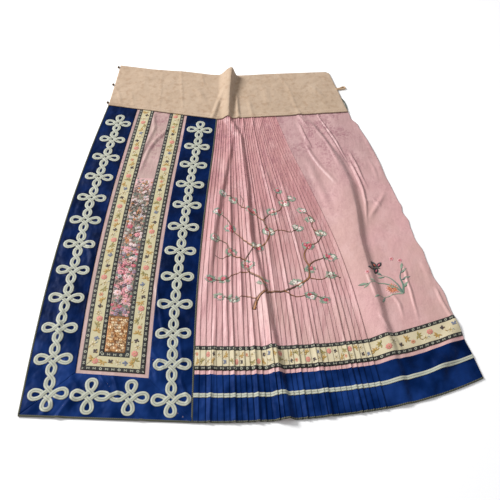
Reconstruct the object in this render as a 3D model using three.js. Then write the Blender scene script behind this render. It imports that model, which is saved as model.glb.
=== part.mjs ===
// Horse-face skirt: one half of a wrapped, pleated skirt, laid out flat.
// A bordered panel lies at the left, thirty-two knife pleats run from it, and a
// plain panel ends the skirt at the right. One cotton waistband holds all three.
// Millimetres, +Z up, +Y from hem to waist. Plan places are measured from the
// panel's lower left corner and the finished group is moved to its own centre.
import * as THREE from 'three';

// Cloth and seams
const cloth = 1.2; // silk face and cotton lining together
const applique = 0.8; // satin bands, woven ribbons and the embroidered ground
const braidThick = 1.1; // woven silk braid, couched down flat
const bindingThick = 0.6; // narrow bias strip round the edges
const bandThick = 2.6; // folded cotton waistband
const seamGap = 0.3;
const layerOne = cloth + seamGap; // underside of what is sewn to the ground
const layerTwo = layerOne + applique + seamGap; // underside of what is sewn to that

// The skirt's long edges and seams from hem to waist, one row for each level.
// left: panel edge, seam: panel to pleats, last: last pleat, right: skirt edge.
const levels = [
  { left: [0, 0], seam: [283, 10], last: [604, 62], right: [782, 127] },
  { left: [-13, 134], seam: [272, 138], last: [581, 190], right: [752, 247] },
  { left: [-23, 268], seam: [263, 267], last: [556, 317], right: [719, 369] },
  { left: [-28, 403], seam: [258, 396], last: [523, 441], right: [688, 490] },
  { left: [-28, 538], seam: [256, 525], last: [481, 565], right: [658, 611] },
  { left: [-24, 672], seam: [256, 654], last: [435, 688], right: [624, 730] },
  { left: [-17, 807], seam: [254, 783], last: [396, 810], right: [578, 847] },
];
// Cloth length from hem to waist along each of those lines
const drop = { left: 808, seam: 775, last: 860, right: 800 };
const hemSag = { panel: 0, pleats: 8, plain: 2 }; // how far the hem bows outward

// Top edge of the waistband: share of its length, then the place
const bandTop = [
  { at: 0, x: -19, y: 971 },
  { at: 0.15, x: 65, y: 964 },
  { at: 0.31, x: 156, y: 964 },
  { at: 0.43, x: 220, y: 958 },
  { at: 0.56, x: 298, y: 963 },
  { at: 0.74, x: 400, y: 984 },
  { at: 0.97, x: 525, y: 1006 },
  { at: 1, x: 536, y: 1001 },
];

// Ridges where the cloth lifts off the table: place of the crest, its height,
// and how far the rise reaches to the left and to the right of it
const folds = {
  main: [
    { x: 446, y: 0, high: 9, left: 24, right: 15 },
    { x: 421, y: 118, high: 9, left: 24, right: 15 },
    { x: 382, y: 308, high: 9, left: 24, right: 15 },
    { x: 350, y: 424, high: 10, left: 22, right: 15 },
    { x: 337, y: 562, high: 11, left: 24, right: 15 },
    { x: 310, y: 716, high: 9, left: 20, right: 14 },
    { x: 281, y: 782, high: 9, left: 18, right: 12 },
    { x: 277, y: 877, high: 17, left: 30, right: 13 },
    { x: 276, y: 1010, high: 30, left: 38, right: 14 },
  ],
  seam: [
    { x: 276, y: 240, high: 0, left: 12, right: 14 },
    { x: 270, y: 378, high: 6, left: 12, right: 14 },
    { x: 268, y: 458, high: 8, left: 12, right: 14 },
    { x: 275, y: 629, high: 7, left: 12, right: 14 },
    { x: 283, y: 720, high: 4, left: 12, right: 14 },
    { x: 285, y: 790, high: 0, left: 10, right: 12 },
  ],
  hump: [
    { x: 648, y: 20, high: 0, left: 24, right: 14 },
    { x: 636, y: 111, high: 5, left: 26, right: 14 },
    { x: 620, y: 206, high: 9, left: 36, right: 20 },
    { x: 586, y: 301, high: 14, left: 50, right: 26 },
    { x: 566, y: 424, high: 15, left: 60, right: 28 },
    { x: 538, y: 588, high: 10, left: 55, right: 28 },
    { x: 505, y: 689, high: 6, left: 50, right: 24 },
    { x: 463, y: 778, high: 3, left: 40, right: 20 },
    { x: 440, y: 820, high: 0, left: 30, right: 16 },
  ],
  corner: [
    { x: 676, y: 70, high: 0, left: 20, right: 20 },
    { x: 684, y: 91, high: 2, left: 22, right: 20 },
    { x: 719, y: 158, high: 7, left: 30, right: 28 },
    { x: 749, y: 232, high: 3, left: 22, right: 20 },
    { x: 757, y: 262, high: 0, left: 16, right: 14 },
  ],
};

// Panel: the satin border's inner edges, as shares of the panel's width
const borderInner = {
  left: { hem: 0.292, waist: 0.269 },
  right: { hem: 0.729, waist: 0.726 },
};
const bottomBorder = 81;
const pinkMargin = 7;
const panelRibbon = 37;
const goldHeight = 73;
const fieldTop = 556; // the embroidery ends here and plain silk goes on

// Hem bands on the pleats and the plain panel, as heights above the hem
const hem = {
  stripeLow: 43,
  stripeHigh: 51,
  bandHigh: 86,
  ribbonLow: 94,
  ribbonHigh: 142,
};
const binding = 2.2; // width of the edge binding

// Pleats
const pleatCount = 32;
const pleatStep = { hem: 2.3, waist: 1.5 }; // how far a fold's edge stands up
const pleatEdge = 0.03; // half the share of a pleat that its drop takes

// Braid knots: two columns and a bottom row of looped silk braid
const braid = {
  // Middles of the knots: up each side from the hem, and along the foot
  left: [
    [38.4, 41], [30, 105.5], [25.2, 168], [21.4, 232.8], [18, 297.3], [15.4, 361.4],
    [12.6, 426], [11.4, 489.6], [13, 553.6], [15.2, 617.6], [17.6, 679], [20, 738],
  ],
  right: [
    [242.6, 46], [236, 110.8], [229.4, 172.6], [224.4, 235.2], [221, 299], [218.4, 362.6],
    [216.4, 426], [216, 488], [215, 550], [215.4, 612.4], [216.8, 674.6], [216.6, 734.4],
  ],
  foot: [[107, 43], [174.2, 45.4]],
  width: 7,
  sideReach: 34,
  sideWide: 24,
  freeReach: 30,
  freeWide: 22,
  linkWide: 20,
  corner: 4.4, // where two crossing bands meet at a knot
  linkFull: 0.88,
  linkAt: [0.3, 0.7],
  // Loop outlines: share of the loop's reach, share of its half width
  lobe: [{ out: 0.42, full: 0.84 }, { out: 0.75, full: 1 }, { out: 0.97, full: 0.5 }],
  lobeHole: [
    { out: 0.34, full: 0 }, { out: 0.55, full: 0.9 }, { out: 0.76, full: 0.6 },
    { out: 0.76, full: -0.6 }, { out: 0.55, full: -0.9 },
  ],
  linkHole: [
    { out: 0.26, full: 0 }, { out: 0.5, full: 1 }, { out: 0.8, full: 0 }, { out: 0.5, full: -1 },
  ],
};

// Fastenings on the waistband's ends
const button = { radius: 3.2, places: [0.03, 0.48, 0.94] };
const clothLoop = { level: 0.56, reach: 24, wide: 8, slot: 1.6, thick: 4, tilt: 0.18, clear: 0.8 };
const cordLoop = { from: 0.04, to: 0.3, wide: 4.6, slot: 0.8, thick: 2 };

// How many steps each grid takes
const steps = {
  plainAcross: 14,
  clothUp: 10,
  panelAcross: 4,
  panelUp: 12,
  frameAcross: 2,
  footAcross: 6,
  fieldUp: 6,
  bandAcross: 8,
  bandUp: 4,
  bandRidge: 12,
};

const mix = (a, b, t) => a + (b - a) * t;
const mixPoint = (a, b, t) => [mix(a[0], b[0], t), mix(a[1], b[1], t)];
const range = (count) => Array.from({ length: count + 1 }, (_, i) => i / count);

// A smooth curve through one column of the levels table; the ends run on straight
function edgePoint(edge, level) {
  const last = levels.length - 1;
  const place = THREE.MathUtils.clamp(level, 0, 1) * last;
  const step = Math.min(Math.floor(place), last - 1);
  const t = place - step;
  return [0, 1].map((axis) => {
    const from = levels[step][edge][axis];
    const to = levels[step + 1][edge][axis];
    const before = step > 0 ? levels[step - 1][edge][axis] : 2 * from - to;
    const after = step < last - 1 ? levels[step + 2][edge][axis] : 2 * to - from;
    const leave = (to - before) / 2;
    const arrive = (after - from) / 2;
    const bend = 2 * (from - to) + leave + arrive;
    const turn = 3 * (to - from) - 2 * leave - arrive;
    return ((bend * t + turn) * t + leave) * t + from;
  });
}

// Height of the fold under a place on the table
function foldHeight(x, y) {
  let height = 0;
  for (const rows of Object.values(folds)) {
    const next = rows.findIndex((row) => row.y > y);
    if (next < 1) continue;
    const a = rows[next - 1];
    const b = rows[next];
    const t = (y - a.y) / (b.y - a.y);
    const aside = x - mix(a.x, b.x, t);
    const reach = aside < 0 ? mix(a.left, b.left, t) : mix(a.right, b.right, t);
    const share = Math.min(Math.abs(aside) / reach, 1);
    const rise = mix(a.high, b.high, t) * Math.cos(share * Math.PI / 2) ** 2;
    height = Math.max(height, rise);
  }
  return height;
}

// The three panels: across 0..1 between two edges, height in mm above the hem
const regions = {
  panel: ['left', 'seam'],
  pleats: ['seam', 'last'],
  plain: ['last', 'right'],
};
const topGap = seamGap / drop.seam;

function regionLevel(region, across, height) {
  const [from, to] = regions[region];
  return Math.min(height / mix(drop[from], drop[to], across), 1 - topGap);
}

function planPoint(region, across, level) {
  const [from, to] = regions[region];
  const a = edgePoint(from, level);
  const b = edgePoint(to, level);
  const inset = seamGap / 2 / (b[0] - a[0]);
  const share = mix(inset, 1 - inset, across);
  const [x, y] = mixPoint(a, b, share);
  return [x, y - hemSag[region] * 4 * share * (1 - share) * (1 - level)];
}

// One closed wall from a grid of places: rows of { x, y, lift }, where lift is
// the pleat's own rise. The wall runs from under to over above the folds. The
// ground, whose underside is at zero, lies flat below its pleats; a band that is
// sewn over them follows them on both faces.
function wallGeometry(rows, under, over, lowerRows = rows) {
  const spots = [];
  const faces = [];
  const lay = (grid, offset, withLift) => grid.map((row) => row.map((spot) => {
    const lift = withLift ? spot.lift : 0;
    spots.push(spot.x, spot.y, foldHeight(spot.x, spot.y) + lift + offset);
    return spots.length / 3 - 1;
  }));
  const upper = lay(rows, over, true);
  const lower = lay(lowerRows, under, under > 0);
  const quad = (a, b, c, d) => faces.push(a, b, c, a, c, d);
  const sheet = (grid, up) => {
    for (let r = 0; r + 1 < grid.length; r += 1) {
      for (let c = 0; c + 1 < grid[r].length; c += 1) {
        const corners = [grid[r][c], grid[r][c + 1], grid[r + 1][c + 1], grid[r + 1][c]];
        if (up) quad(...corners);
        else faces.push(corners[0], corners[2], corners[1], corners[0], corners[3], corners[2]);
      }
    }
  };
  // Joins the lower and upper edge of one end, which may differ in their steps
  const close = (r, outward) => {
    const low = lower[r];
    const high = upper[r];
    const lowShare = lowerRows[r].map((spot) => spot.across);
    const highShare = rows[r].map((spot) => spot.across);
    let i = 0;
    let j = 0;
    while (i + 1 < low.length || j + 1 < high.length) {
      const lowNext = i + 1 < low.length ? lowShare[i + 1] : Infinity;
      const highNext = j + 1 < high.length ? highShare[j + 1] : Infinity;
      const face = lowNext <= highNext ? [low[i], low[i + 1], high[j]] : [low[i], high[j + 1], high[j]];
      if (lowNext <= highNext) i += 1;
      else j += 1;
      faces.push(...(outward ? face : face.reverse()));
    }
  };
  sheet(upper, true);
  sheet(lower, false);
  close(0, true);
  close(rows.length - 1, false);
  for (let r = 0; r + 1 < rows.length; r += 1) {
    const [a, b] = [upper[r], upper[r + 1]];
    const [c, d] = [lower[r], lower[r + 1]];
    quad(a[0], b[0], d[0], c[0]);
    quad(a.at(-1), c.at(-1), d.at(-1), b.at(-1));
  }
  const geometry = new THREE.BufferGeometry();
  geometry.setAttribute('position', new THREE.Float32BufferAttribute(spots, 3));
  geometry.setIndex(faces);
  return geometry;
}

const skirt = new THREE.Group();

function addMesh(name, geometry, finish) {
  const material = new THREE.MeshStandardMaterial({ metalness: 0, roughness: 0.8, ...finish });
  const mesh = new THREE.Mesh(geometry, material);
  mesh.name = name;
  skirt.add(mesh);
  return mesh;
}

const finishes = {
  silk: { color: '#d9acac', roughness: 0.55 },
  satin: { color: '#14286c', roughness: 0.4 },
  ribbon: { color: '#e4dabc', roughness: 0.75 },
  stitched: { color: '#c89a8c', roughness: 0.7 },
  gold: { color: '#b98552', roughness: 0.5, metalness: 0.3 },
  braid: { color: '#c3c9b4', roughness: 0.65 },
  binding: { color: '#4c5040', roughness: 0.8 },
  cotton: { color: '#d3b795', roughness: 0.9 },
  cord: { color: '#33402f', roughness: 0.8 },
  brass: { color: '#4a3f30', roughness: 0.5, metalness: 0.6 },
};

// Rows of places for a piece of one region. acrossAt and heightAt turn a step
// across and a step up into a share of the width and a height above the hem.
function gridRows(region, columns, ups, acrossAt, heightAt) {
  return ups.map((up) => columns.map((column) => {
    const height = heightAt(column, up);
    const across = acrossAt(column, up, height);
    const [x, y] = planPoint(region, across, regionLevel(region, across, height));
    return { x, y, across, lift: 0 };
  }));
}

// The pleated ground and its bands share one set of columns, so that each band
// is the ground's own surface moved out
const pleatColumns = [];
for (let pleat = 0; pleat < pleatCount; pleat += 1) {
  const start = pleat === 0 ? 0 : pleat + pleatEdge;
  const end = pleat === pleatCount - 1 ? pleatCount : pleat + 1 - pleatEdge;
  pleatColumns.push({ across: start / pleatCount, up: 0 });
  pleatColumns.push({ across: end / pleatCount, up: 1 });
}
const underColumns = range(pleatCount).map((across) => ({ across, up: 0 }));
const plainColumns = range(steps.plainAcross).map((across) => ({ across, up: 0 }));
const hemRows = [0, hem.stripeLow, hem.stripeHigh, hem.bandHigh, hem.ribbonLow, hem.ribbonHigh];

function clothRows(region, columns, heights) {
  return heights.map((height) => columns.map(({ across, up }) => {
    const level = regionLevel(region, across, height);
    const [x, y] = planPoint(region, across, level);
    const lift = up * mix(pleatStep.hem, pleatStep.waist, level);
    return { x, y, across, lift };
  }));
}

const longest = Math.max(...Object.values(drop));
const above = range(steps.clothUp).slice(1).map((t) => mix(hem.ribbonHigh, longest, t));
const allHeights = [...hemRows, ...above];
const bandHeights = hemRows.slice(0, 4);
const bandColumns = { pleats: pleatColumns, plain: plainColumns };
for (const [region, columns] of Object.entries(bandColumns)) {
  const underside = region === 'pleats' ? underColumns : columns;
  const ground = wallGeometry(
    clothRows(region, columns, allHeights), 0, cloth, clothRows(region, underside, allHeights),
  );
  addMesh(`${region}_ground`, ground, finishes.silk);
  const strip = (name, heights, under, thick, finish) => addMesh(
    `${region}_${name}`,
    wallGeometry(clothRows(region, columns, heights), under, under + thick),
    finish,
  );
  strip('hem_band', bandHeights, layerOne, applique, finishes.satin);
  strip('hem_stripe', [hem.stripeLow, hem.stripeHigh], layerTwo, applique, finishes.braid);
  strip('ribbon', [hem.ribbonLow, hem.ribbonHigh], layerOne, applique, finishes.ribbon);
  strip('hem_binding', [0, binding], layerTwo, bindingThick, finishes.binding);
}

// Panel: ground, mitred satin border, mitred ribbon, embroidery and gold work
const panelSteps = range(steps.panelUp);
const panelWidth = levels[0].seam[0] - levels[0].left[0];
const share = (mm) => mm / panelWidth;
const inner = (side, level) => mix(borderInner[side].hem, borderInner[side].waist, level);
const straight = (low, high) => (column, up) => mix(low, high, up);

addMesh('panel_ground', wallGeometry(
  gridRows('panel', range(steps.panelAcross), panelSteps, (column) => column, straight(0, drop.left)),
  0, cloth,
), finishes.silk);

// A frame round the panel's middle: two uprights and a foot, mitred where they
// meet. outer and inner give its edges, in mm inside the satin border.
function addFrame(name, edges, footLow, footHigh, finish) {
  const across = (side, t, height) => {
    const inward = side === 'left' ? 1 : -1;
    const edge = (which) => {
      const [base, mm] = edges[which];
      const start = base === 'edge' ? Number(side === 'right') : inner(side, height / drop.left);
      return start + inward * share(mm);
    };
    return mix(edge('outer'), edge('inner'), t);
  };
  for (const side of ['left', 'right']) {
    const mirrored = side === 'right';
    const acrossAt = (column, up, height) => across(side, mirrored ? 1 - column : column, height);
    const heightAt = (column, up) => {
      const t = mirrored ? 1 - column : column;
      return mix(mix(footLow, footHigh, t) + seamGap, drop.left, up);
    };
    const rows = gridRows('panel', range(steps.frameAcross), panelSteps, acrossAt, heightAt);
    addMesh(`${name}_${side}`, wallGeometry(rows, layerOne, layerOne + applique), finish);
  }
  const footRows = gridRows(
    'panel', range(steps.footAcross), [0, 1],
    (column, up, height) => {
      const from = across('left', up, height) + share(seamGap);
      return mix(from, across('right', up, height) - share(seamGap), column);
    },
    straight(footLow, footHigh),
  );
  addMesh(`${name}_bottom`, wallGeometry(footRows, layerOne, layerOne + applique), finish);
}

const ribbonFoot = bottomBorder + pinkMargin;
const fieldFoot = ribbonFoot + panelRibbon;
const fieldEdge = pinkMargin + panelRibbon + seamGap;
addFrame('panel_border', { outer: ['edge', 0], inner: ['border', 0] }, 0, bottomBorder, finishes.satin);
addFrame(
  'panel_ribbon', { outer: ['border', pinkMargin], inner: ['border', pinkMargin + panelRibbon] },
  ribbonFoot, fieldFoot, finishes.ribbon,
);
const fieldAcross = (column, up, height) => {
  const level = height / drop.left;
  return mix(inner('left', level) + share(fieldEdge), inner('right', level) - share(fieldEdge), column);
};
const addField = (name, low, high, finish) => addMesh(name, wallGeometry(
  gridRows('panel', range(steps.frameAcross), range(steps.fieldUp), fieldAcross, straight(low, high)),
  layerOne, layerOne + applique,
), finish);
addField('panel_gold_work', fieldFoot + seamGap, fieldFoot + goldHeight, finishes.gold);
addField('panel_embroidery', fieldFoot + goldHeight + seamGap, fieldTop, finishes.stitched);

// Edge binding of the panel: a narrow strip along each side, between hem strips
const bindingSides = { left: [0, share(binding)], right: [1 - share(binding), 1] };
for (const [side, [from, to]] of Object.entries(bindingSides)) {
  const rows = gridRows(
    'panel', [0, 1], panelSteps, (column) => mix(from, to, column),
    (column, up) => mix(binding + seamGap, drop.left, up),
  );
  const strip = wallGeometry(rows, layerTwo, layerTwo + bindingThick);
  addMesh(`panel_binding_${side}`, strip, finishes.binding);
}
addMesh('panel_binding_hem', wallGeometry(
  gridRows('panel', range(steps.panelAcross), [0, 1], (column) => column, straight(0, binding)),
  layerTwo, layerTwo + bindingThick,
), finishes.binding);

// Braid. A chain of knots is cut as one outline with a hole in every loop. Each
// knot has a loop to either side and shares a pair of loops with the next knot;
// the two ends of the chain are free loops.
const frameAt = (centre, toward) => (along, aside) => new THREE.Vector2(
  centre[0] + along * Math.cos(toward) + aside * Math.sin(toward),
  centre[1] + along * Math.sin(toward) - aside * Math.cos(toward),
);
const heading = (from, to) => Math.atan2(to[1] - from[1], to[0] - from[0]);

function addBraid(name, places, side, free) {
  const between = (i) => mixPoint(places[i], places[i + 1], 0.5);
  const half = (i) => Math.hypot(places[i + 1][0] - places[i][0], places[i + 1][1] - places[i][1]) / 2;
  const last = places.length - 1;
  const towards = places.map((centre, i) => {
    return heading(places[Math.max(i - 1, 0)], places[Math.min(i + 1, last)]);
  });
  const linkHalf = (braid.linkFull * braid.linkWide) / 2;
  const holeWide = (wide) => wide / 2 - braid.width;

  // One side of the chain from its first knot to its last
  const walk = (hand) => places.flatMap((centre, i) => {
    const at = frameAt(centre, towards[i]);
    const before = i > 0 ? [...braid.linkAt].reverse().map((t) => at(-t * half(i - 1), hand * linkHalf)) : [];
    const rim = (way) => braid.lobe.map(({ out, full }) => {
      return at(way * full * side.wide / 2, hand * out * side.reach);
    });
    const after = i < last ? braid.linkAt.map((t) => at(t * half(i), hand * linkHalf)) : [];
    const crossing = i < last
      ? [frameAt(between(i), heading(places[i], places[i + 1]))(0, hand * braid.width / 2)]
      : [];
    const corners = [at(-braid.corner, hand * braid.corner), at(braid.corner, hand * braid.corner)];
    return [
      ...before, corners[0], ...rim(-1), ...rim(1).reverse(), corners[1], ...after, ...crossing,
    ];
  });
  const freeLoop = (i, way) => {
    const at = frameAt(places[i], towards[i]);
    const rim = (hand) => braid.lobe.map(({ out, full }) => {
      return at(way * out * free.reach, hand * full * free.wide / 2);
    });
    return [...rim(way), ...rim(-way).reverse()];
  };
  const shape = new THREE.Shape([
    ...walk(1), ...freeLoop(last, 1), ...walk(-1).reverse(), ...freeLoop(0, -1),
  ]);

  const cutLobe = (at, reach, wide) => shape.holes.push(new THREE.Path(
    braid.lobeHole.map(({ out, full }) => at(out * reach, full * holeWide(wide))),
  ));
  const cutLink = (at, length) => shape.holes.push(new THREE.Path(
    braid.linkHole.map(({ out, full }) => at(out * length, full * holeWide(braid.linkWide))),
  ));
  places.forEach((centre, i) => {
    const along = frameAt(centre, towards[i]);
    const back = (out, aside) => along(-out, -aside);
    cutLobe((out, aside) => along(-aside, out), side.reach, side.wide);
    cutLobe((out, aside) => along(aside, -out), side.reach, side.wide);
    if (i < last) cutLink(along, half(i));
    else cutLobe(along, free.reach, free.wide);
    if (i > 0) cutLink(back, half(i - 1));
    else cutLobe(back, free.reach, free.wide);
  });
  const cut = new THREE.ExtrudeGeometry(shape, { depth: braidThick, bevelEnabled: false, steps: 1 });
  cut.translate(0, 0, layerTwo);
  addMesh(name, cut, finishes.braid);
}

const wideLoop = { reach: braid.sideReach, wide: braid.sideWide };
const slimLoop = { reach: braid.freeReach, wide: braid.freeWide };
addBraid('braid_left', braid.left, wideLoop, slimLoop);
addBraid('braid_right', braid.right, wideLoop, slimLoop);
addBraid('braid_bottom', braid.foot, slimLoop, wideLoop);

// Waistband: one folded strip whose lower edge follows the three panels' tops
const bandFoot = [levels.at(-1).left, levels.at(-1).seam, levels.at(-1).last, levels.at(-1).right];
const footShare = [0, 0.455, 0.69, 1]; // where along the band those four points lie
function tablePoint(shares, points, at) {
  const next = Math.max(1, shares.findIndex((value) => value >= at));
  const t = (at - shares[next - 1]) / (shares[next] - shares[next - 1]);
  return mixPoint(points[next - 1], points[next], t);
}
const topShare = bandTop.map((row) => row.at);
const topPoints = bandTop.map((row) => [row.x, row.y]);
function bandPoint(at, up) {
  return mixPoint(tablePoint(footShare, bandFoot, at), tablePoint(topShare, topPoints, at), up);
}
const ridge = { from: 0.42, to: 0.56 }; // the share of the band that the main fold takes
const bandColumnsAt = [
  ...range(steps.bandAcross).map((t) => mix(0, ridge.from, t)),
  ...range(steps.bandRidge).slice(1).map((t) => mix(ridge.from, ridge.to, t)),
  ...range(steps.bandAcross).slice(1).map((t) => mix(ridge.to, 1, t)),
];
const bandRows = range(steps.bandUp).map((up) => bandColumnsAt.map((across) => {
  const [x, y] = bandPoint(across, up);
  return { x, y, across, lift: 0 };
}));
addMesh('waistband', wallGeometry(bandRows, 0, bandThick), finishes.cotton);

// Ball buttons on the left end
button.places.forEach((up, i) => {
  const [x, y] = bandPoint(0, up);
  const ball = new THREE.IcosahedronGeometry(button.radius, 1);
  const mesh = addMesh(`waist_button_${i + 1}`, ball, finishes.brass);
  mesh.position.set(x - button.radius - seamGap, y, button.radius + seamGap);
});

// Loops on the right end: a flat stadium with a slit, standing off the edge
function addLoop(name, reach, { wide, slot, thick }, finish) {
  const stadium = (Type, length, width, back) => {
    const outline = new Type();
    const r = width / 2;
    outline.absarc(length - r, 0, r, -Math.PI / 2, Math.PI / 2, false);
    outline.absarc(back + r, 0, r, Math.PI / 2, (3 * Math.PI) / 2, false);
    outline.closePath();
    return outline;
  };
  const wall = (wide - slot) / 2;
  const shape = stadium(THREE.Shape, reach, wide, 0);
  shape.holes.push(stadium(THREE.Path, reach - wall, slot, wall));
  const body = new THREE.ExtrudeGeometry(shape, { depth: thick, bevelEnabled: false, curveSegments: 5 });
  return addMesh(name, body, finish);
}
const clothSeat = bandPoint(1, clothLoop.level);
const bandEnd = heading(bandPoint(1, 0), bandPoint(1, 1));
const outward = bandEnd - Math.PI / 2;
const loopOfCloth = addLoop('waist_loop_cloth', clothLoop.reach, clothLoop, finishes.cotton);
loopOfCloth.position.set(
  clothSeat[0] + clothLoop.clear * Math.cos(outward),
  clothSeat[1] + clothLoop.clear * Math.sin(outward),
  seamGap,
);
loopOfCloth.rotation.z = outward + clothLoop.tilt;

const cordStart = bandPoint(1, cordLoop.from);
const cordEnd = bandPoint(1, cordLoop.to);
const cordReach = Math.hypot(cordEnd[0] - cordStart[0], cordEnd[1] - cordStart[1]);
const loopOfCord = addLoop('waist_loop_cord', cordReach, cordLoop, finishes.cord);
const cordAside = cordLoop.wide / 2 + seamGap;
loopOfCord.position.set(
  cordStart[0] + cordAside * Math.cos(outward), cordStart[1] + cordAside * Math.sin(outward), seamGap,
);
loopOfCord.rotation.z = bandEnd;

// The group stands on the table with its box centred on the origin
skirt.updateMatrixWorld(true);
const box = new THREE.Box3().setFromObject(skirt);
const centre = box.getCenter(new THREE.Vector3());
skirt.position.set(-centre.x, -centre.y, -box.min.z);

export default skirt;
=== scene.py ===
import math

import bpy
import numpy as np
from mathutils import Matrix, Vector


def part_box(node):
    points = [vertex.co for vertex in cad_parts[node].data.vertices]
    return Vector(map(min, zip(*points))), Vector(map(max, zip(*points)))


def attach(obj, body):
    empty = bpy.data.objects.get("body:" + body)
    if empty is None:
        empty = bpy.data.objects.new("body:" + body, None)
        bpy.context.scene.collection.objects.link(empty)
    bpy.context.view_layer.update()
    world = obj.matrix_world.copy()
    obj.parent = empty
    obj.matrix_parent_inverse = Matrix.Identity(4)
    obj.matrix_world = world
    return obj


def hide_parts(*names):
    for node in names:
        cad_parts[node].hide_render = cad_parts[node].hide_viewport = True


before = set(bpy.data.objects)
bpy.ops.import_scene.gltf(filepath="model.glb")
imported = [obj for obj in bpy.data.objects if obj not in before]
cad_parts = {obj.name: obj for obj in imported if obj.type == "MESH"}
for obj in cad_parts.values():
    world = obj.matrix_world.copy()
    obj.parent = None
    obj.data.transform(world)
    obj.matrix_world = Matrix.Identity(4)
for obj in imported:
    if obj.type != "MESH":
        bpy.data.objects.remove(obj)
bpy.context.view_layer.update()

scene = bpy.context.scene

# The skirt lies open on a pale table and is seen from above its hem, a little
# turned. Plan places below are millimetres from the bordered panel's lower left
# corner: +X along the hem, +Y to the waist, +Z off the table.
mm = 0.001
hem_seam_x = 282.85
ground_low, ground_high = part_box("panel_ground")
corner = np.array([ground_high.x - hem_seam_x * mm, ground_low.y, 0])

camera_place = (357.15, -363.86, 930.50)
camera_tip, camera_roll = math.radians(51.4), math.radians(4)
picture_up = Vector((0, math.sin(camera_tip), math.cos(camera_tip)))
ahead = Vector((0, math.cos(camera_tip), -math.sin(camera_tip)))
turn_cos, turn_sin = math.cos(camera_roll), math.sin(camera_roll)
camera_right = turn_cos * Vector((1, 0, 0)) + turn_sin * picture_up
camera_up = turn_cos * picture_up - turn_sin * Vector((1, 0, 0))
camera_data = bpy.data.cameras.new("camera")
camera_data.lens = 42.29
camera_data.sensor_width = 36
camera = bpy.data.objects.new("camera", camera_data)
scene.collection.objects.link(camera)
camera_axes = Matrix((camera_right, camera_up, -ahead)).transposed().to_4x4()
camera.matrix_world = Matrix.Translation(Vector(corner) + Vector(camera_place) * mm) @ camera_axes
scene.camera = camera
scene.view_settings.view_transform = "Standard"

studio = bpy.data.worlds.new("studio")
studio.use_nodes = True
studio.node_tree.nodes["Background"].inputs["Color"].default_value = (0.98, 0.98, 1, 1)
studio.node_tree.nodes["Background"].inputs["Strength"].default_value = 0.36
scene.world = studio

softboxes = {  # place, width and power of each soft light; all of them face the skirt
    "window": ((-3000, 2000, 2500), 1400, 264),
    "ceiling": ((500, 500, 2400), 1800, 9),
}
skirt_middle = Vector(corner) + Vector((370, 450, 0)) * mm
for light_name, (light_place, light_width, light_power) in softboxes.items():
    light_data = bpy.data.lights.new(light_name, "AREA")
    light_data.size = light_width * mm
    light_data.energy = light_power
    light = bpy.data.objects.new(light_name, light_data)
    scene.collection.objects.link(light)
    light.location = Vector(corner) + Vector(light_place) * mm
    light.rotation_mode = "QUATERNION"
    light.rotation_quaternion = (skirt_middle - light.location).to_track_quat("-Z", "Y")


def tint(red, green, blue):
    """A colour from its screen values 0 to 255, as the shader's own linear values."""
    screen = np.array([red, green, blue]) / 255
    linear = np.where(screen < 0.04045, screen / 12.92, ((screen + 0.055) / 1.055) ** 2.4)
    return (*(float(part) for part in linear), 1.0)


class Signal:
    """One number that varies over a surface: sums and products of it add Math nodes."""

    def __init__(self, finish, socket):
        self.finish = finish
        self.socket = socket

    def __add__(self, other):
        return self.finish.maths("ADD", self, other)

    def __radd__(self, other):
        return self.finish.maths("ADD", other, self)

    def __sub__(self, other):
        return self.finish.maths("SUBTRACT", self, other)

    def __rsub__(self, other):
        return self.finish.maths("SUBTRACT", other, self)

    def __mul__(self, other):
        return self.finish.maths("MULTIPLY", self, other)

    def __rmul__(self, other):
        return self.finish.maths("MULTIPLY", other, self)

    def __truediv__(self, other):
        return self.finish.maths("DIVIDE", self, other)

    def __gt__(self, other):
        return self.finish.maths("GREATER_THAN", self, other)

    def __lt__(self, other):
        return self.finish.maths("LESS_THAN", self, other)

    def between(self, low, high):
        return (self > low) * (self < high)

    def away(self, middle):
        return self.finish.maths("ABSOLUTE", self - middle)

    def part(self, size):
        """Place inside its repeat, from 0 to 1."""
        return self.finish.maths("FRACT", self / size)

    def soft(self, low, high):
        """0 below low, 1 above high and smooth between them."""
        settings = {"interpolation_type": "SMOOTHSTEP"}
        return self.finish.node("MapRange", settings, {"Value": self, "From Min": low, "From Max": high})


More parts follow.
